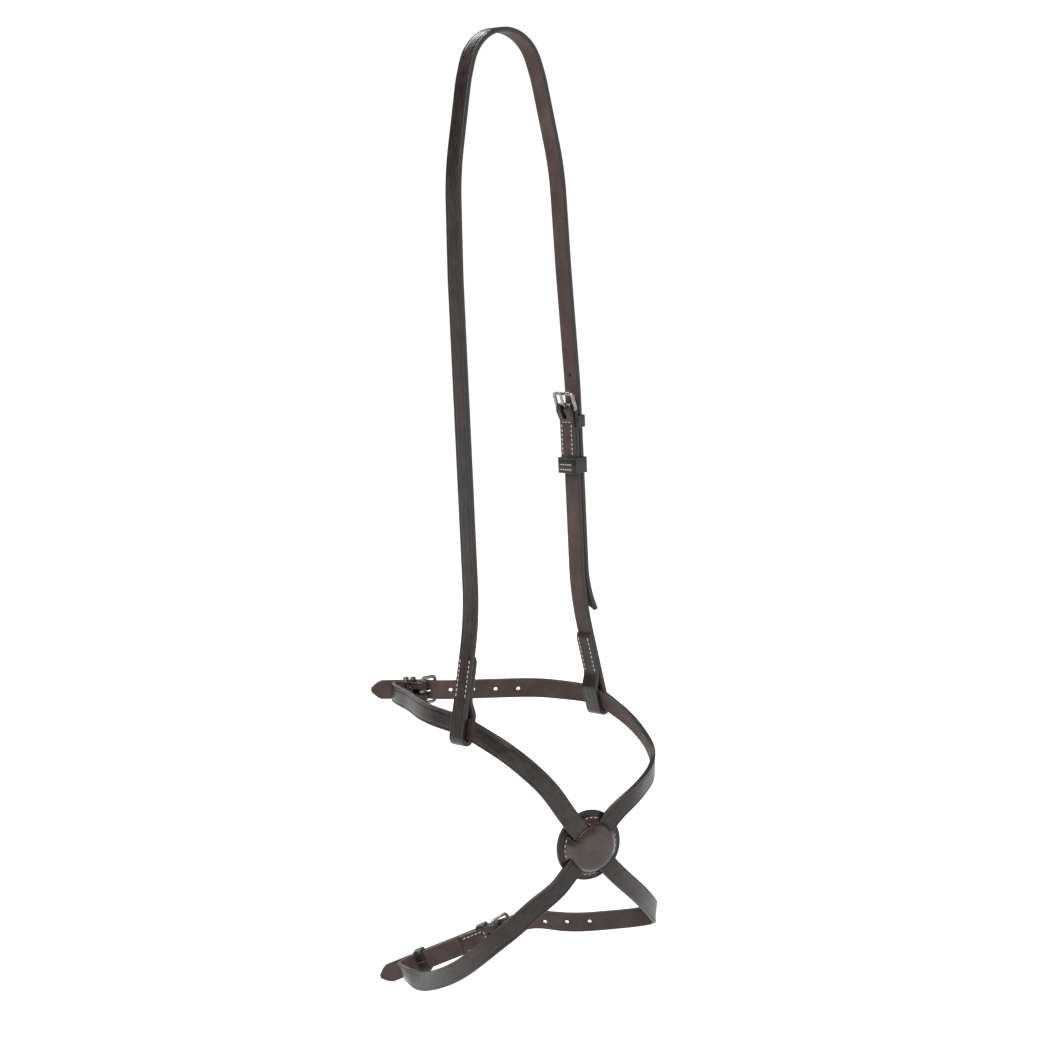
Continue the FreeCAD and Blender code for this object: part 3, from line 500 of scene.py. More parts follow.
def cut_holes(piece, cutters):
    """Punches holes along Z of each cutter: (matrix, length along X, width along Y, square)."""
    points, faces = [], []
    for place, length, width, square in cutters:
        start = len(points)
        if square:
            corners = ((1, 1), (-1, 1), (-1, -1), (1, -1))
            outline = [(x * length / 2, y * width / 2) for x, y in corners]
        else:
            outline = []
            for step in range(28):
                angle = 2 * math.pi * step / 28
                shift = math.copysign((length - width) / 2, math.cos(angle))
                outline.append((shift + width / 2 * math.cos(angle), width / 2 * math.sin(angle)))
        for height in (-PUNCH, PUNCH):
            points += [tuple(c * MM for c in place @ Vector((x, y, height))) for x, y in outline]
        n = len(outline)
        faces.append(tuple(start + k for k in range(n - 1, -1, -1)))
        faces.append(tuple(start + n + k for k in range(n)))
        faces += [(start + k, start + (k + 1) % n, start + n + (k + 1) % n, start + n + k)
                  for k in range(n)]
    mesh = bpy.data.meshes.new(piece.name + "_punch")
    mesh.from_pydata(points, [], faces)
    for item in piece.data.materials:
        mesh.materials.append(item)
    mesh.polygons.foreach_set("material_index", [1] * len(faces))
    mesh.uv_layers.new(name="strap")
    punch = bpy.data.objects.new(mesh.name, mesh)
    bpy.context.scene.collection.objects.link(punch)
    cut = piece.modifiers.new("holes", "BOOLEAN")
    cut.operation, cut.solver, cut.object = "DIFFERENCE", "EXACT", punch
    apply_modifiers(piece)
    bpy.data.objects.remove(punch)


def prong_slot(place):
    """The square slot at a buckle's fold that the prong swings in."""
    return place @ Matrix.Translation((0.25, 0, 0)), 15.5, 5, True


def brown_fold(piece, place, lap):
    """Gives a buckle's turned-back end its browner, less waxed grain."""
    piece.data.materials.append(FOLD_GRAIN)
    back = place.inverted()
    for face in piece.data.polygons:
        u, v, w = back @ (face.center / MM)
        near = -lap - 1 < u < 1 and abs(v) < WIDTH and -7 < w < FOLD_IN - 0.2
        if face.material_index == 0 and near:
            face.material_index = len(piece.data.materials) - 1


def apply_modifiers(piece):
    """Makes the piece's mesh what its modifiers show."""
    bpy.context.view_layer.update()
    shown = bpy.data.meshes.new_from_object(piece.evaluated_get(bpy.context.evaluated_depsgraph_get()))
    shown.name = piece.data.name
    piece.modifiers.clear()
    piece.data = shown


def point_tip(route, blunt=1.5, length=10.0):
    """Points the strap's last stretch: a rounded point of the given length."""
    gap = np.clip(route.from_end() / length, 0, 1)
    half = blunt + (WIDTH / 2 - blunt) * np.sin(gap * math.pi / 2)
    route.low, route.high = -half, half


def finer_tip(route, length=12.0):
    """Adds steps in the last stretch, so that a shaped tip is smooth."""
    run = route.from_end()[::-1]
    want = np.union1d(np.linspace(0, length, 31), run[run > length])[::-1]

    def resampled(values):
        return np.column_stack([np.interp(want, run, values[::-1, k]) for k in range(3)])

    return Route(resampled(route.spot), resampled(route.across), resampled(route.outward),
                 np.interp(want, run, route.thick[::-1]))


# ---------------------------------------------------------- headpiece and cheek, in the arch plane

def loop_spot(side, u, v):
    """A point of a cheek loop: u outwards from the loop's middle line, v up the splayed cheek."""
    x = LOOP_X - v * math.sin(SPLAY) + u * math.cos(SPLAY)
    z = u * math.sin(SPLAY) + v * math.cos(SPLAY) - CHEEK_DROP
    return side * x, z


def loop_corners(side):
    """The sewn loop at a cheek's foot, from the turned-back end to the outer layer."""
    shoulder = LOOP_REACH - 1.3
    joined = shoulder + 10
    end = joined + LOOP_STITCHED
    layer = LOOP_HALF - SKIVED / 2
    made = [(*loop_spot(side, LOOP_HALF - 0.3, end), 0, SKIVED_END),
            (*loop_spot(side, layer, end - 4), 12, SKIVED),
            (*loop_spot(side, layer, joined), 14, SKIVED),
            (*loop_spot(side, -LOOP_SHIFT, shoulder), 8, THICK)]
    for step in range(17):
        angle = math.pi * (1 + step / 16)
        u, v = LOOP_SHIFT * math.cos(angle), LOOP_LOW + LOOP_SHIFT * math.sin(angle)
        made.append((*loop_spot(side, u, v), 0, THICK))
    return made


def splay_corner():
    """Where the splayed stretch above the near loop meets the straight cheek."""
    low_x, low_z = loop_spot(1, LOOP_SHIFT, 0)
    return SPAN, low_z + (low_x - SPAN) / math.tan(SPLAY)


def fold_corners(lap, length):
    """A turned-back end round a hinge bar, seen edge on: from its end to the straight layer."""
    middle = FOLD_IN - SKIVED / 2
    made = [(-lap, FOLD_IN - 0.3, 0, SKIVED_END), (4 - lap, middle, min(12, lap / 3), SKIVED)]
    if lap > 14:
        made.append((-9, middle, 8, SKIVED))
    radius = FOLD_IN + THICK / 2
    for step in range(21):
        angle = math.radians(-112 + 202 * step / 20)
        made.append((radius * math.cos(angle), radius * math.sin(angle), 0, THICK))
    made.append((-length, LINE, 0, THICK))
    return made


def headpiece():
    """Off cheek, crown and the near billet with its holes and slanted tip."""
    corner_x, corner_z = splay_corner()
    billet = SPAN + STEP
    corners = loop_corners(-1) + [(-corner_x, corner_z, SPLAY_BEND, THICK)]
    arch = [(SPAN - 0.5, -190, 400), (SPAN - 3, -110, 240), (SPAN - 19, -36, 110),
            (CROWN_RADIUS * 0.72, THICK / 2, CROWN_RADIUS)]
    corners += [(-x, z, r, THICK) for x, z, r in arch]
    corners += [(x, z, r, THICK) for x, z, r in arch[::-1]]
    corners += [(billet, -HINGE_DROP + 20, 400, THICK), (billet + 0.3, corner_z + 11, 90, THICK),
                (billet + 8.6, -HINGE_DROP - 168, 0, THICK)]
    route = finer_tip(flat_route(rounded(corners), ARCH, 1), 16)
    # The tip is cut across at a slant, its longer side towards the nose.
    route.high = np.minimum(WIDTH / 2, 1.3 * route.from_end() - WIDTH / 2 + 1.5)
    piece = sweep("headpiece_strap", route, strap_section, STRAP_KINDS, LEATHER, "headgear",
                  ["headpiece"])
    heights = [-HINGE_DROP + 28 - HEADPIECE_PITCH * k for k in range(6)]
    cut_holes(piece, [(ARCH @ Matrix.Translation((billet, 0, z)) @ turned(90, "Y"), HOLE, HOLE, False)
                      for z in heights])


def near_cheek():
    """Short near cheek: buckle fold above, sewn loop below."""
    up = [(CHEEK_X + v, -HINGE_DROP + u, r, t) for u, v, r, t in fold_corners(50, 56)]
    corners = up + [(*splay_corner(), SPLAY_BEND, THICK)] + loop_corners(1)[::-1]
    route = flat_route(rounded(corners, 1.2), ARCH, 1)
    piece = sweep("near_cheek_strap", route, strap_section, STRAP_KINDS, LEATHER, "headgear",
                  ["near_cheek"])
    cut_holes(piece, [prong_slot(CHEEK_BUCKLE)])
    brown_fold(piece, CHEEK_BUCKLE, 50)


# ---------------------------------------------------------- nose straps

def station(x, y, z, facing, tilt=0.0):
    """Middle of a strap, with the way its grain side looks: azimuth and upward tilt in degrees."""
    facing, tilt = math.radians(facing), math.radians(tilt)
    flat = math.cos(tilt)
    return (x, y, z), (flat * math.cos(facing), flat * math.sin(facing), math.sin(tilt)), None


def crossing_station(slope, along, step=0.0):
    """A station on a straight run over the rosette, step further out than the lower strap."""
    turn = math.radians(slope)
    spot = ROSETTE @ Vector((along * math.cos(turn), -step, along * math.sin(turn)))
    return station(*spot, ROSETTE_TURN - 90)


def buckle_station(place, u, v, lean=0.0):
    """A station in a buckle's frame; lean turns the strap outwards."""
    turn = math.radians(lean)
    rotate = place.to_3x3()
    return (place @ Vector((u, 0, v)), rotate @ Vector((-math.sin(turn), 0, math.cos(turn))),
            rotate @ Vector((math.cos(turn), 0, math.sin(turn))))


def bend_stations(place, start, radius, bend, count):
    """Stations round the tight turn behind a buckle; bend is in degrees."""
    made = []
    rotate = place.to_3x3()
    for index in range(count + 1):
        angle = math.radians(90 + bend * index / count)
        c, s = math.cos(angle), math.sin(angle)
        made.append((place @ Vector((start + radius * c, 0, LINE - radius + radius * s)),
                     rotate @ Vector((c, 0, s)), rotate @ Vector((s, 0, -c))))
    return made


def billet_stations(place, tip, reach):
    """The billet from its tip, over the fold, under the front bar, to the free run."""
    straight = [(-4 - (tip - 4) * step / 5, OVER) for step in (5, 4, 3, 2, 1, 0)]
    sunk = [(1, OVER - 0.3, -9), (*TONGUE_SPOT, TONGUE_LEAN), (12, LINE + 0.2, -11),
            (17, UNDER_BAR), (reach, UNDER_BAR)]
    return [buckle_station(place, *spot) for spot in straight + sunk]


def billet_holes(place, count):
    """Punches for a billet: the engaged hole is long, the free ones are round."""
    made = [(*TONGUE_HOLE, TONGUE_LONG, TONGUE_WIDE, TONGUE_LEAN)]
    made += [(24.5 + NOSE_PITCH * index, UNDER_BAR, HOLE, HOLE, 0) for index in range(count)]
    return [(place @ Matrix.Translation((u, 0, v)) @ turned(-lean, "Y"), length, width, False)
            for u, v, length, width, lean in made]


def fold_route(place, lap, length):
    return flat_route(rounded(fold_corners(lap, length), 1.0), place, -1)


def nose_strap(name, route, node, holes, place, lap):
    """A nose strap along its route: pointed at the billet's end, punched, browner at its fold."""
    route = finer_tip(route)
    point_tip(route)
    piece = sweep(name, route, strap_section, STRAP_KINDS, LEATHER, "noseband", [node])
    cut_holes(piece, holes + [prong_slot(place)])
    brown_fold(piece, place, lap)


def nose_strap_1():
    """Off buckle end above, over the crossing, to the near billet below."""
    stations = [buckle_station(UPPER_BUCKLE, -15.0, LINE)]
    stations += bend_stations(UPPER_BUCKLE, -17.8, 5.6, 107.4, 6)
    stations += [
        station(-60, 47, -544.5, 162, 2),
        station(-70, 18, -545.5, 166, 7),
        station(0.3 - LOOP_X, -12, -546.5, 173, 12),
        station(-LOOP_X, LOOP_FORE, LOOP_Z, 180, 13),
        station(-0.3 - LOOP_X, -48, -549.3, 182, 13),
        station(-0.2 - LOOP_X, -62, -552.5, 188, 12),
        station(-70.5, -85.5, -561, 205, 8),
        station(-61, -100, -573.5, 223, 4),
        station(-48, -109, -589.5, 240, 2),
        station(-33, -111, -609, 250, 0),
        *[crossing_station(STRAP_1_SLOPE, along, STEP) for along in (-22, -11, 0, 11, 22)],
        station(30, -119.5, -681, 268, 0),
        station(52, -115, -698.5, 277, 0),
        station(74, -106, -716, 290, 0),
        station(82, -100, -723, 315, 0),
        station(84, -93.5, -727, 0, 0),
        station(80, -86.5, -729.5, 32, 0),
        station(60, -68.5, -732.5, 41, 0),
        station(34, -40, -735, 42, 0),
    ]
    stations += billet_stations(LOWER_BUCKLE, 113, 22)[::-1]
    route = fold_route(UPPER_BUCKLE, UPPER_LAP, 14.4).joined(station_route(stations))
    turn = turned(RUN_FACING, "Z") @ turned(90, "Y")
    free = [(Matrix.Translation(spot) @ turn, HOLE, HOLE, False) for spot in RUN_HOLES]
    nose_strap("nose_strap_1_leather", route, "nose_strap_1", billet_holes(LOWER_BUCKLE, 1) + free,
               UPPER_BUCKLE, UPPER_LAP)


def nose_strap_2():
    """Upper billet, through the near loop, under the crossing, to the off buckle end below."""
    stations = billet_stations(UPPER_BUCKLE, 42, 36)
    stations += [
        station(27, 22.5, -543.5, 50, 0),
        station(51, 3.5, -544, 48, 3),
        station(67, -13, -546, 30, 9),
        station(LOOP_X - 0.3, -26, -547, 5, 13),
        station(LOOP_X, LOOP_FORE, LOOP_Z, 0, 13),
        station(LOOP_X + 0.4, -47, -549.4, -2, 13),
        station(LOOP_X + 2.2, -57, -554, -10, 11),
        station(80.5, -68, -561.5, -16, 8),
        station(85, -80, -573, -24, 3),
        station(87, -90, -586, -34, 0),
        station(79, -100, -597, -50, 0),
        station(60, -111, -604, -68, 0),
        station(36, -118.5, -611.5, -88, 0),
        *[crossing_station(STRAP_2_SLOPE, along) for along in (31, 22, 11, 0, -11, -22, -31, -40)],
        station(-48, -98, -689, -120, 0),
        station(-62, -88, -704.5, -138, 0),
        station(-73, -72, -722, -160, 0),
        station(-78, -40, -749, -178, 0),
        station(-74, -2, -770, -193, 0),
        station(-66, 32, -781, -200, 0),
    ]
    stations += bend_stations(LOWER_BUCKLE, -82, 7, 120, 7)[::-1]
    stations += [buckle_station(LOWER_BUCKLE, u, LINE) for u in (-75, -66, -57, -48, -40)]
    route = fold_route(LOWER_BUCKLE, LOWER_LAP, 39.4).joined(station_route(stations[::-1]))
    nose_strap("nose_strap_2_leather", route, "nose_strap_2", billet_holes(UPPER_BUCKLE, 4),
               LOWER_BUCKLE, LOWER_LAP)


# ---------------------------------------------------------- buckles

WIRE_SIDES = 20


def wire_section(route, i):
    """A round wire's section; route.thick carries its diameter."""
    angles = [2 * math.pi * k / WIRE_SIDES for k in range(WIRE_SIDES)]
    return [(route.thick[i] / 2 * math.cos(a), -route.thick[i] / 2 * math.sin(a)) for a in angles]


def buckle_frame(name, place, lean):
    """Rectangular wire frame with round corners; the hinge bar is at the origin of its place."""
    bend, half = 2.6, FRAME_HALF
    outline = []
    for x, y, start in ((bend, half - bend, 90), (bend, bend - half, 180),
                        (REACH - bend, bend - half, 270), (REACH - bend, half - bend, 0)):
        for step in range(9):
            angle = math.radians(start + 90 * step / 8)
            outline.append((x + bend * math.cos(angle), y + bend * math.sin(angle)))
    dense = []
    for (x0, y0), (x1, y1) in zip(outline, outline[1:] + outline[:1]):
        run = math.hypot(x1 - x0, y1 - y0)
        parts = max(int(run / 1.2), 1)
        dense += [(x0 + (x1 - x0) * k / parts, y0 + (y1 - y0) * k / parts) for k in range(parts)]
    flat = np.array(dense)
    way = np.roll(flat, -1, axis=0) - np.roll(flat, 1, axis=0)
    way /= np.linalg.norm(way, axis=1)[:, None]
    tilted = place @ turned(-lean, "Y")
    turn = tilted.to_3x3()
    spot = [tilted @ Vector((x, y, 0)) for x, y in flat]
    outward = [turn @ Vector((0, 0, 1))] * len(flat)
    across = [turn @ Vector((-y, x, 0)) for x, y in way]
    # The front bar is a little worn where the prong lies on it.
    worn = np.exp(-(flat[:, 1] / 1.6) ** 2) * (flat[:, 0] > REACH / 2)
    route = Route(spot, across, outward, 2 * BAR - 0.16 * worn)
    sweep(name + "_frame_wire", route, wire_section, [0] * WIRE_SIDES, (STEEL,), name + "_frame",
          [name + "_buckle_frame"], closed=True)


def prong(name, place, lean, side):
    """Tongue with its eye round the hinge bar, narrowing to a rounded point.

    side is +1 where the tongue lies on the outer face of the front bar, -1 on the inner.
    """
    turn = math.radians(lean)
    ahead = (math.cos(turn), math.sin(turn))
    aside = (-side * math.sin(turn), side * math.cos(turn))
    rest = BAR + PRONG_FLAT / 2 + 0.12

    def spot(along, off):
        return ahead[0] * along + aside[0] * off, ahead[1] * along + aside[1] * off

    middle = FOLD_IN + 0.78
    # The wire is bent into a ring round the bar and leads off along the tongue.
    start = math.degrees(math.atan2(*spot(1.9, 1.1)[::-1]))
    corners = []
    for step in range(25):
        angle = math.radians(start - side * (330 - 330 * step / 24))
        corners.append((middle * math.cos(angle), middle * math.sin(angle), 0, 1.4 + 0.3 * step / 24))
    corners += [(*spot(REACH * 0.55, rest), 9, PRONG_FLAT), (*spot(REACH + 2.2, rest), 0, 1.5)]
    route = flat_route(rounded(corners, 0.5), place, side)
    gap = route.from_end()
    half = np.clip(0.35 + 0.85 * np.sqrt(np.clip(gap / 1.6, 0, 1)), 0, 1.2)
    half = np.where(gap > 18, 1.55, half + np.clip(gap / 14, 0, 1) * 0.1)
    route.low, route.high = -half, half

    def section(course, i):
        wide, tall = course.high[i], course.thick[i] / 2
        made = []
        for k in range(16):
            angle = 2 * math.pi * k / 16
            c, s = math.cos(angle), -math.sin(angle)
            made.append((wide * math.copysign(abs(c) ** 0.7, c),
                         tall * math.copysign(abs(s) ** 0.7, s)))
        return made

    sweep(name + "_prong_tongue", route, section, [0] * 17, (STEEL,), name + "_tongue",
          [name + "_prong"])


# ---------------------------------------------------------- keepers

KEEPER_SKIN = 2.0
KEEPER_OUTER = ((0.0, 0.6), (0.08, 0.3), (0.3, 0.08), (0.7, 0.0), (1.2, 0.0), (1.5, 0.12), (1.8, 0.0))
KEEPER_INNER = ((0.0, 0.5), (0.12, 0.2), (0.5, 0.0))
KEEPER_KINDS = [1, 1, 1] + [0] * 7 + [1, 1, 1, 1] + [1, 1] + [2] + [1, 1, 1] + [1]


def keeper(node, body, place, spot, length, low, running):
    """A leather band round the straps.

    A fixed keeper is open and sewn in under the turned-back end; a running one goes all round.
    low is the inner face of the straps that it holds.
    """
    fit, corner = 0.4, 2.0
    half = WIDTH / 2 + fit + KEEPER_SKIN / 2
    high = KEEPER_TOP + fit + KEEPER_SKIN / 2
    corners = [(half, high, corner), (-half, high, corner)]
    if running:
        low -= fit + KEEPER_SKIN / 2
        corners = [(0, low, 0), (half, low, corner * 0.8), *corners,
                   (-half, low, corner * 0.8), (0, low, 0)]
    else:
        tuck = FOLD_IN + 0.1
        corners = [(WIDTH / 2 - 3, tuck, 0), (half, tuck, 0.9), *corners,
                   (-half, tuck, 0.9), (3 - WIDTH / 2, tuck, 0)]
    points = rounded([(a, b, r, KEEPER_SKIN) for a, b, r in corners], 0.7)
    # The band's flat view is across the strap: its a axis is the place's Y, its b axis its Z.
    swap = Matrix(((0, 1, 0), (1, 0, 0), (0, 0, 1))).to_4x4()
    route = flat_route(points, place @ Matrix.Translation((spot, 0, 0)) @ swap, -1)
    edge = min(1.0, length / 9)

    def section(course, i):
        outer = [(length / 2 - inset * edge, KEEPER_SKIN / 2 - down) for inset, down in KEEPER_OUTER]
        inner = [(length / 2 - inset, up - KEEPER_SKIN / 2) for inset, up in KEEPER_INNER]
        return (outer + [(-x, y) for x, y in outer[::-1]]
                + [(-x, y) for x, y in inner] + inner[::-1])

    sweep(node + "_band", route, section, KEEPER_KINDS, KEEPER_LEATHER, body, [node])


# ---------------------------------------------------------- stitching

def stitches(name, body, spots, nodes):
    """Real stitches: short bowed lengths of thread whose ends go down into the leather.

    spots are (place of the stitch's middle, along, outward), in millimetres.
    """
    points, faces, laid = [], [], []
    steps, sides, length = 7, 8, 2.7
    for spot, along, outward in spots:
        along, outward = Vector(along).normalized(), Vector(outward).normalized()
        across = outward.cross(along)
        # Each stitch lies a little aslant, as a saddler's does.
        along, across = along + across * 0.16, across - along * 0.16
        start = len(points)
        for i in range(steps):
            t = 2 * i / (steps - 1) - 1
            size = THREAD / 2 * (1.12 - 0.35 * t * t)
            middle = Vector(spot) + along * (t * length / 2) - outward * (0.42 * t * t)
            for k in range(sides):
                angle = 2 * math.pi * k / sides
                points.append(middle + across * (size * 1.15 * math.cos(angle))
                              + outward * (size * math.sin(angle)))
        for i in range(steps - 1):
            for k in range(sides):
                m = (k + 1) % sides
                a, b = start + i * sides, start + (i + 1) * sides
                faces.append((a + k, a + m, b + m, b + k))
                laid += [(i * 0.04, k * 0.03), (i * 0.04, k * 0.03 + 0.03),
                         (i * 0.04 + 0.04, k * 0.03 + 0.03), (i * 0.04 + 0.04, k * 0.03)]
        for ring in ([start + k for k in range(sides - 1, -1, -1)],
                     [start + (steps - 1) * sides + k for k in range(sides)]):
            faces.append(tuple(ring))
            laid += [(0, 0)] * sides
    mesh_piece(name, points, faces, [0] * len(faces), laid, (LINEN,), body, nodes)


def seam(place, start, end, outward, pitch=STITCH_PITCH):
    """Evenly spaced stitches from start to end in a place's own frame."""
    start, end = Vector(start), Vector(end)
    run = end - start
    count = max(int(run.length / pitch), 1)
    turn = place.to_3x3()
    return [(place @ (start + run * ((k + 0.5) / count)), turn @ run, turn @ Vector(outward))
            for k in range(count)]


def fold_seam(name, body, place, near, far, node):
    """Rows along a turned-back end and one across it, on its inner face."""
    v, half = FOLD_FACE + 0.02, WIDTH / 2 - EDGE_LINE
    spots = []
    if far > near:
        for y in (-half, half):
            spots += seam(place, (-near - 1.5, y, v), (-far, y, v), (0, 0, -1))
    spots += seam(place, (-near, -half, v), (-near, half, v), (0, 0, -1))
    stitches(name, body, spots, [node])


def keeper_seam():
    """Two rows across the inner face of the headpiece's running keeper, where its ends meet."""
    v = FOLD_FACE - 3.0
    spots = []
    for u in (-45.3, -49.4):
        spots += seam(CHEEK_BUCKLE, (u, -7, v), (u, 7, v), (0, 0, -1), 2.8)
    stitches("cheek_keeper_seam", "cheek_keeper", spots, [])


def loop_seam(name, side, node):
    """Two rows up a cheek's turned-back end, on its outer and inner faces."""
    low = LOOP_REACH + 10.7
    spots = []
    for u, out in ((LOOP_HALF + THICK - 0.04, 1), (LOOP_HALF - SKIVED + 0.04, -1)):
        (x0, z0), (x1, z1) = loop_spot(side, u, low), loop_spot(side, u, low + LOOP_STITCHED - 5)
        facing = (side * out * math.cos(SPLAY), 0, out * math.sin(SPLAY))
        for y in (EDGE_LINE - WIDTH / 2, WIDTH / 2 - EDGE_LINE):
            spots += seam(ARCH, (x0, y, z0), (x1, y, z1), facing)
    stitches(name, "headgear", spots, [node])


# ---------------------------------------------------------- rosette

def lathe(name, place, outline, kinds, materials, nodes, steps=96):
    """Turns an outline of (radius, height), from radius 0 to radius 0, about the place's Z axis."""
    spots, flat, faces, materials_of, laid = [], [], [], [], []
    rings = []
    for radius, height in outline:
        if radius < 1e-6:
            rings.append([len(spots)])
            spots.append(place @ Vector((0, 0, height)))
            flat.append((0, 0))
            continue
        rings.append(list(range(len(spots), len(spots) + steps)))
        for k in range(steps):
            angle = 2 * math.pi * k / steps
            spots.append(place @ Vector((radius * math.cos(angle), radius * math.sin(angle), height)))
            flat.append((radius * math.cos(angle) / 10, radius * math.sin(angle) / 10))
    for i, (ring, above) in enumerate(zip(rings, rings[1:])):
        for k in range(steps):
            m = (k + 1) % steps
            corners = dict.fromkeys((ring[k % len(ring)], ring[m % len(ring)],
                                     above[m % len(above)], above[k % len(above)]))
            faces.append(tuple(corners))
            materials_of.append(kinds[i])
            laid += [flat[c] for c in corners]
    return mesh_piece(name, spots, faces, materials_of, laid, materials, "noseband",
                      nodes)


def rosette_disc():
    """Leather disc behind the crossing, with a rounded rim and a tooled ring."""
    r, t = DISC_RADIUS, DISC_THICK
    outline = [(0, -t), (r - 0.8, -t), (r - 0.2, -t + 0.3), (r, -t + 0.9), (r, -0.9), (r - 0.2, -0.35),
               (r - 0.8, 0.0), (r - 1.9, 0.0), (r - 2.3, -0.28), (r - 2.7, 0.0), (r - 9, 0.0), (0, 0.0)]
    kinds = [2, 1, 1, 1, 1, 1, 0, 0, 0, 0, 0]
    lathe("rosette_disc", DISC_PLACE, outline, kinds, LEATHER, ["rosette_base"])


def rosette_dome():
    """Polished leather dome over the crossing, open where the four arms run out."""
    r, rim, top = COVER_RADIUS, 1.6, 2 * THICK + 4 * GAP
    inside = [(0, top), (r - 10, top - 0.2), (r - 7.2, top - 1.0), (r - 5.8, top - 2.6), (r - 4.6, 0)]
    edge = [(r - 0.3, 0), (r, 0.3), (r, rim - 0.5)]
    outside = [(r - 0.25, rim - 0.12), (r - 0.7, rim), (r - 1.1, rim - 0.12), (r - 1.8, rim - 0.05),
               (r - 2.4, rim + 0.5), (r - 2.9, rim + 1.7), (r - 3.5, rim + 3.1), (r - 4.3, top - 2.4),
               (r - 5.2, top - 0.9), (r - 6.4, top + 0.2), (r - 8.0, top + 1.0), (r - 10.2, top + 1.65),
               (r - 13, top + 2.05), (r - 16, top + 2.28), (r - 19, top + COVER_SKIN),
               (0, top + COVER_SKIN)]
    kinds = [2] * len(inside) + [1] * len(edge) + [0] * (len(outside) - 1)
    dome = lathe("rosette_dome", COVER_PLACE, inside + edge + outside, kinds, (DOME_GRAIN, EDGE, FLESH),
                 ["rosette_cover"])
    lanes = []
    for slope, layers in ((STRAP_1_SLOPE, 2), (STRAP_2_SLOPE, 1)):
        height = layers * THICK + (layers + 1) * GAP
        for half in (0, 180):
            lane = Matrix.Translation((4 + r / 2, 0, height - PUNCH))
            lanes.append((COVER_PLACE @ turned(slope + half, "Z") @ lane, r, WIDTH + 1.8, True))
    cut_holes(dome, lanes)


def rosette_seam():
    """Arcs of stitches on the dome's rim between the arms."""
    radius = COVER_RADIUS - 1.1
    arm = math.degrees(math.asin((WIDTH / 2 + 2.6) / radius))
    bounds = [STRAP_2_SLOPE, STRAP_1_SLOPE + 180, STRAP_2_SLOPE + 180, STRAP_1_SLOPE + 360,
              STRAP_2_SLOPE + 360]
    spots = []
    turn = COVER_PLACE.to_3x3()
    for low, high in zip(bounds, bounds[1:]):
        low, high = low + arm, high - arm
        count = max(int(math.radians(high - low) * radius / STITCH_PITCH), 1)
        for index in range(count):
            angle = math.radians(low + (high - low) * (index + 0.5) / count)
            spot = Vector((radius * math.cos(angle), radius * math.sin(angle), 1.55))
            spots.append((COVER_PLACE @ spot, turn @ Vector((-math.sin(angle), math.cos(angle), 0)),
                          turn @ Vector((0, 0, 1))))
    stitches("rosette_seam", "noseband", spots, ["rosette_stitching"])


# ---------------------------------------------------------- the object

headpiece()
near_cheek()
nose_strap_1()
nose_strap_2()
rosette_disc()
rosette_dome()
for name, place, lean, side in (("cheek", CHEEK_BUCKLE, CHEEK_LEAN, -1),
                                ("upper", UPPER_BUCKLE, ENGAGED_LEAN, 1),
                                ("lower", LOWER_BUCKLE, ENGAGED_LEAN, 1)):
    buckle_frame(name, place, lean)
    prong(name, place, lean, side)
keeper("cheek_fixed_keeper", "headgear", CHEEK_BUCKLE, -9.8, 10.0, FOLD_IN, False)
keeper("cheek_running_keeper", "cheek_keeper", CHEEK_BUCKLE, -46.0, 13.0, FOLD_FACE - 0.6, True)
keeper("upper_fixed_keeper", "noseband", UPPER_BUCKLE, -6.8, 4.6, FOLD_IN, False)
keeper("upper_running_keeper", "upper_keeper", UPPER_BUCKLE, -12.6, 4.6, FOLD_FACE - 0.6, True)
keeper("lower_fixed_keeper", "noseband", LOWER_BUCKLE, -12.0, 9.0, FOLD_IN, False)
keeper("lower_running_keeper", "lower_keeper", LOWER_BUCKLE, -72.0, 8.0, FOLD_IN, True)
fold_seam("cheek_buckle_seam", "headgear", CHEEK_BUCKLE, 10.5, 38, "cheek_buckle_stitching")
fold_seam("upper_buckle_seam", "noseband", UPPER_BUCKLE, 9.5, 9.5, "upper_buckle_stitching")
fold_seam("lower_buckle_seam", "noseband", LOWER_BUCKLE, 10.5, 30, "lower_buckle_stitching")
loop_seam("off_loop_seam", -1, "off_loop_stitching")
loop_seam("near_loop_seam", 1, "near_loop_stitching")
rosette_seam()
keeper_seam()


# ---------------------------------------------------------- floor, light and camera

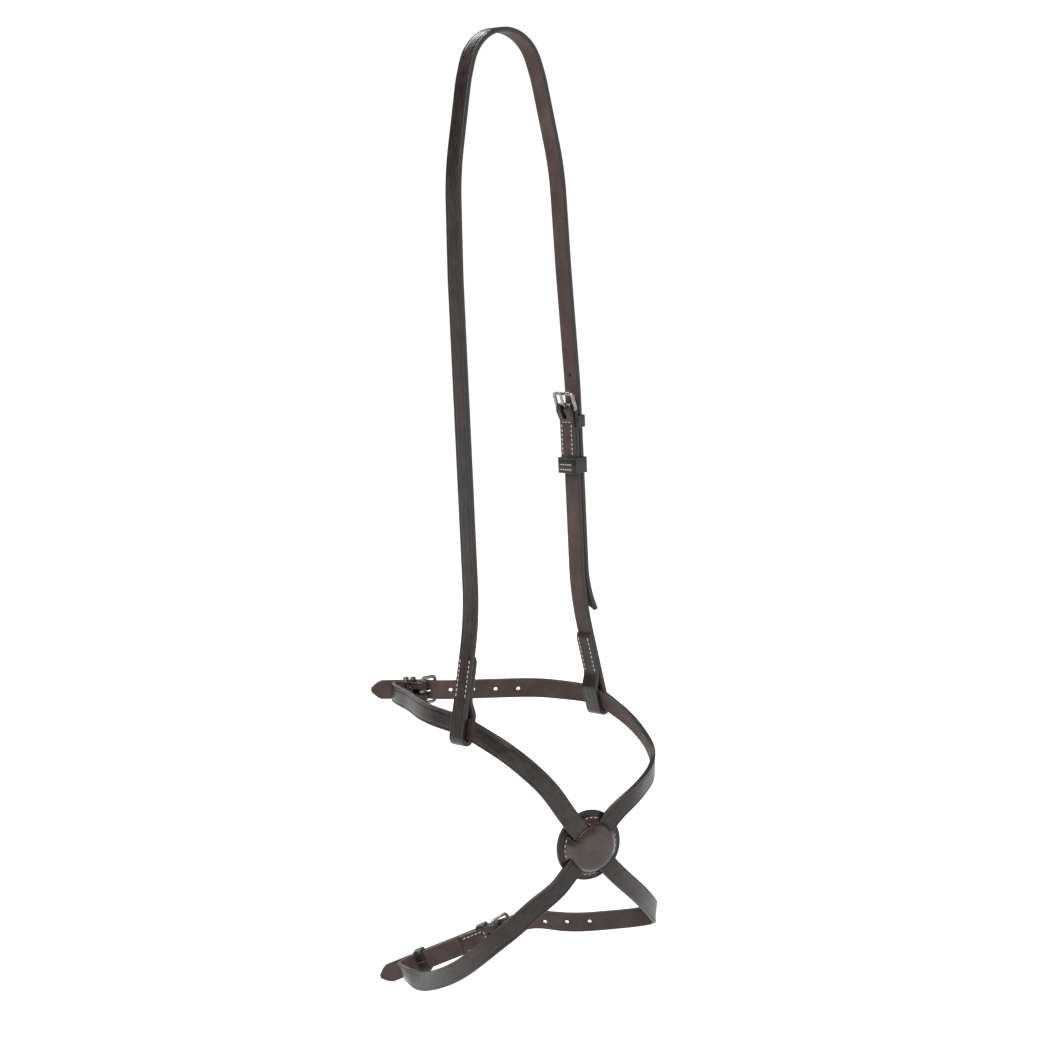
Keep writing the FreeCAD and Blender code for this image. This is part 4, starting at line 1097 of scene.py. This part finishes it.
def looking(name, data, spot, way):
    """A lamp or camera at a spot, turned to look along a direction."""
    item = bpy.data.objects.new(name, data)
    item.location = spot
    item.rotation_euler = Vector(way).to_track_quat("-Z", "Y").to_euler()
    bpy.context.scene.collection.objects.link(item)
    return item


def area_light(name, spot, size, power):
    """A soft square light at spot, aimed at the middle of the object."""
    lamp = bpy.data.lights.new(name, "AREA")
    lamp.size, lamp.energy = size, power
    looking(name, lamp, spot, Vector((0, -0.01, -0.4)) - Vector(spot))


def floor():
    """Plain pale floor a little below the hanging headgear."""
    ground = cad_box[0].z - 0.05
    mesh = bpy.data.meshes.new("floor")
    reach = 30
    mesh.from_pydata([(-reach, -reach, ground), (reach, -reach, ground), (reach, reach, ground),
                      (-reach, reach, ground)], [], [(0, 1, 2, 3)])
    made, _, shade = material("pale_floor")
    shade({"Base Color": (0.8, 0.8, 0.8, 1), "Roughness": 1.0, "Specular IOR Level": 0.0,
           "Emission Color": (1, 1, 1, 1), "Emission Strength": 0.36})
    mesh.materials.append(made)
    item = bpy.data.objects.new("floor", mesh)
    bpy.context.scene.collection.objects.link(item)


def studio():
    """White backdrop that lights the object only weakly, so that the lamps model its form."""
    world = bpy.data.worlds.new("studio")
    world.use_nodes = True
    nodes = world.node_tree.nodes
    seen, strength = nodes.new("ShaderNodeLightPath"), nodes.new("ShaderNodeMapRange")
    fill(strength, {"Value": seen.outputs["Is Camera Ray"], "To Min": 0.28, "To Max": 1.0})
    fill(nodes["Background"], {"Color": (1, 1, 1, 1), "Strength": strength.outputs["Result"]})
    bpy.context.scene.world = world


floor()
studio()
area_light("key", (-1.7, -0.5, 0.9), 0.7, 26)
area_light("fill", (1.4, -1.8, 0.1), 1.6, 8)
area_light("rim", (0.6, 1.9, 0.7), 0.9, 20)
sky = bpy.data.lights.new("overhead", "SUN")
sky.energy, sky.angle = 2.0, math.radians(40)
looking("overhead", sky, (0, 0, 0), (0.35, 0.2, -1))

lens = bpy.data.cameras.new("camera")
lens.lens, lens.sensor_width = 93.65, 36
stand = Vector((-1.4721, -1.6349, 0.0))
camera = looking("camera", lens, stand, Vector((0.0146, -0.0132, -0.397)) - stand)
bpy.context.scene.camera = camera
bpy.context.scene.view_settings.view_transform = "Standard"
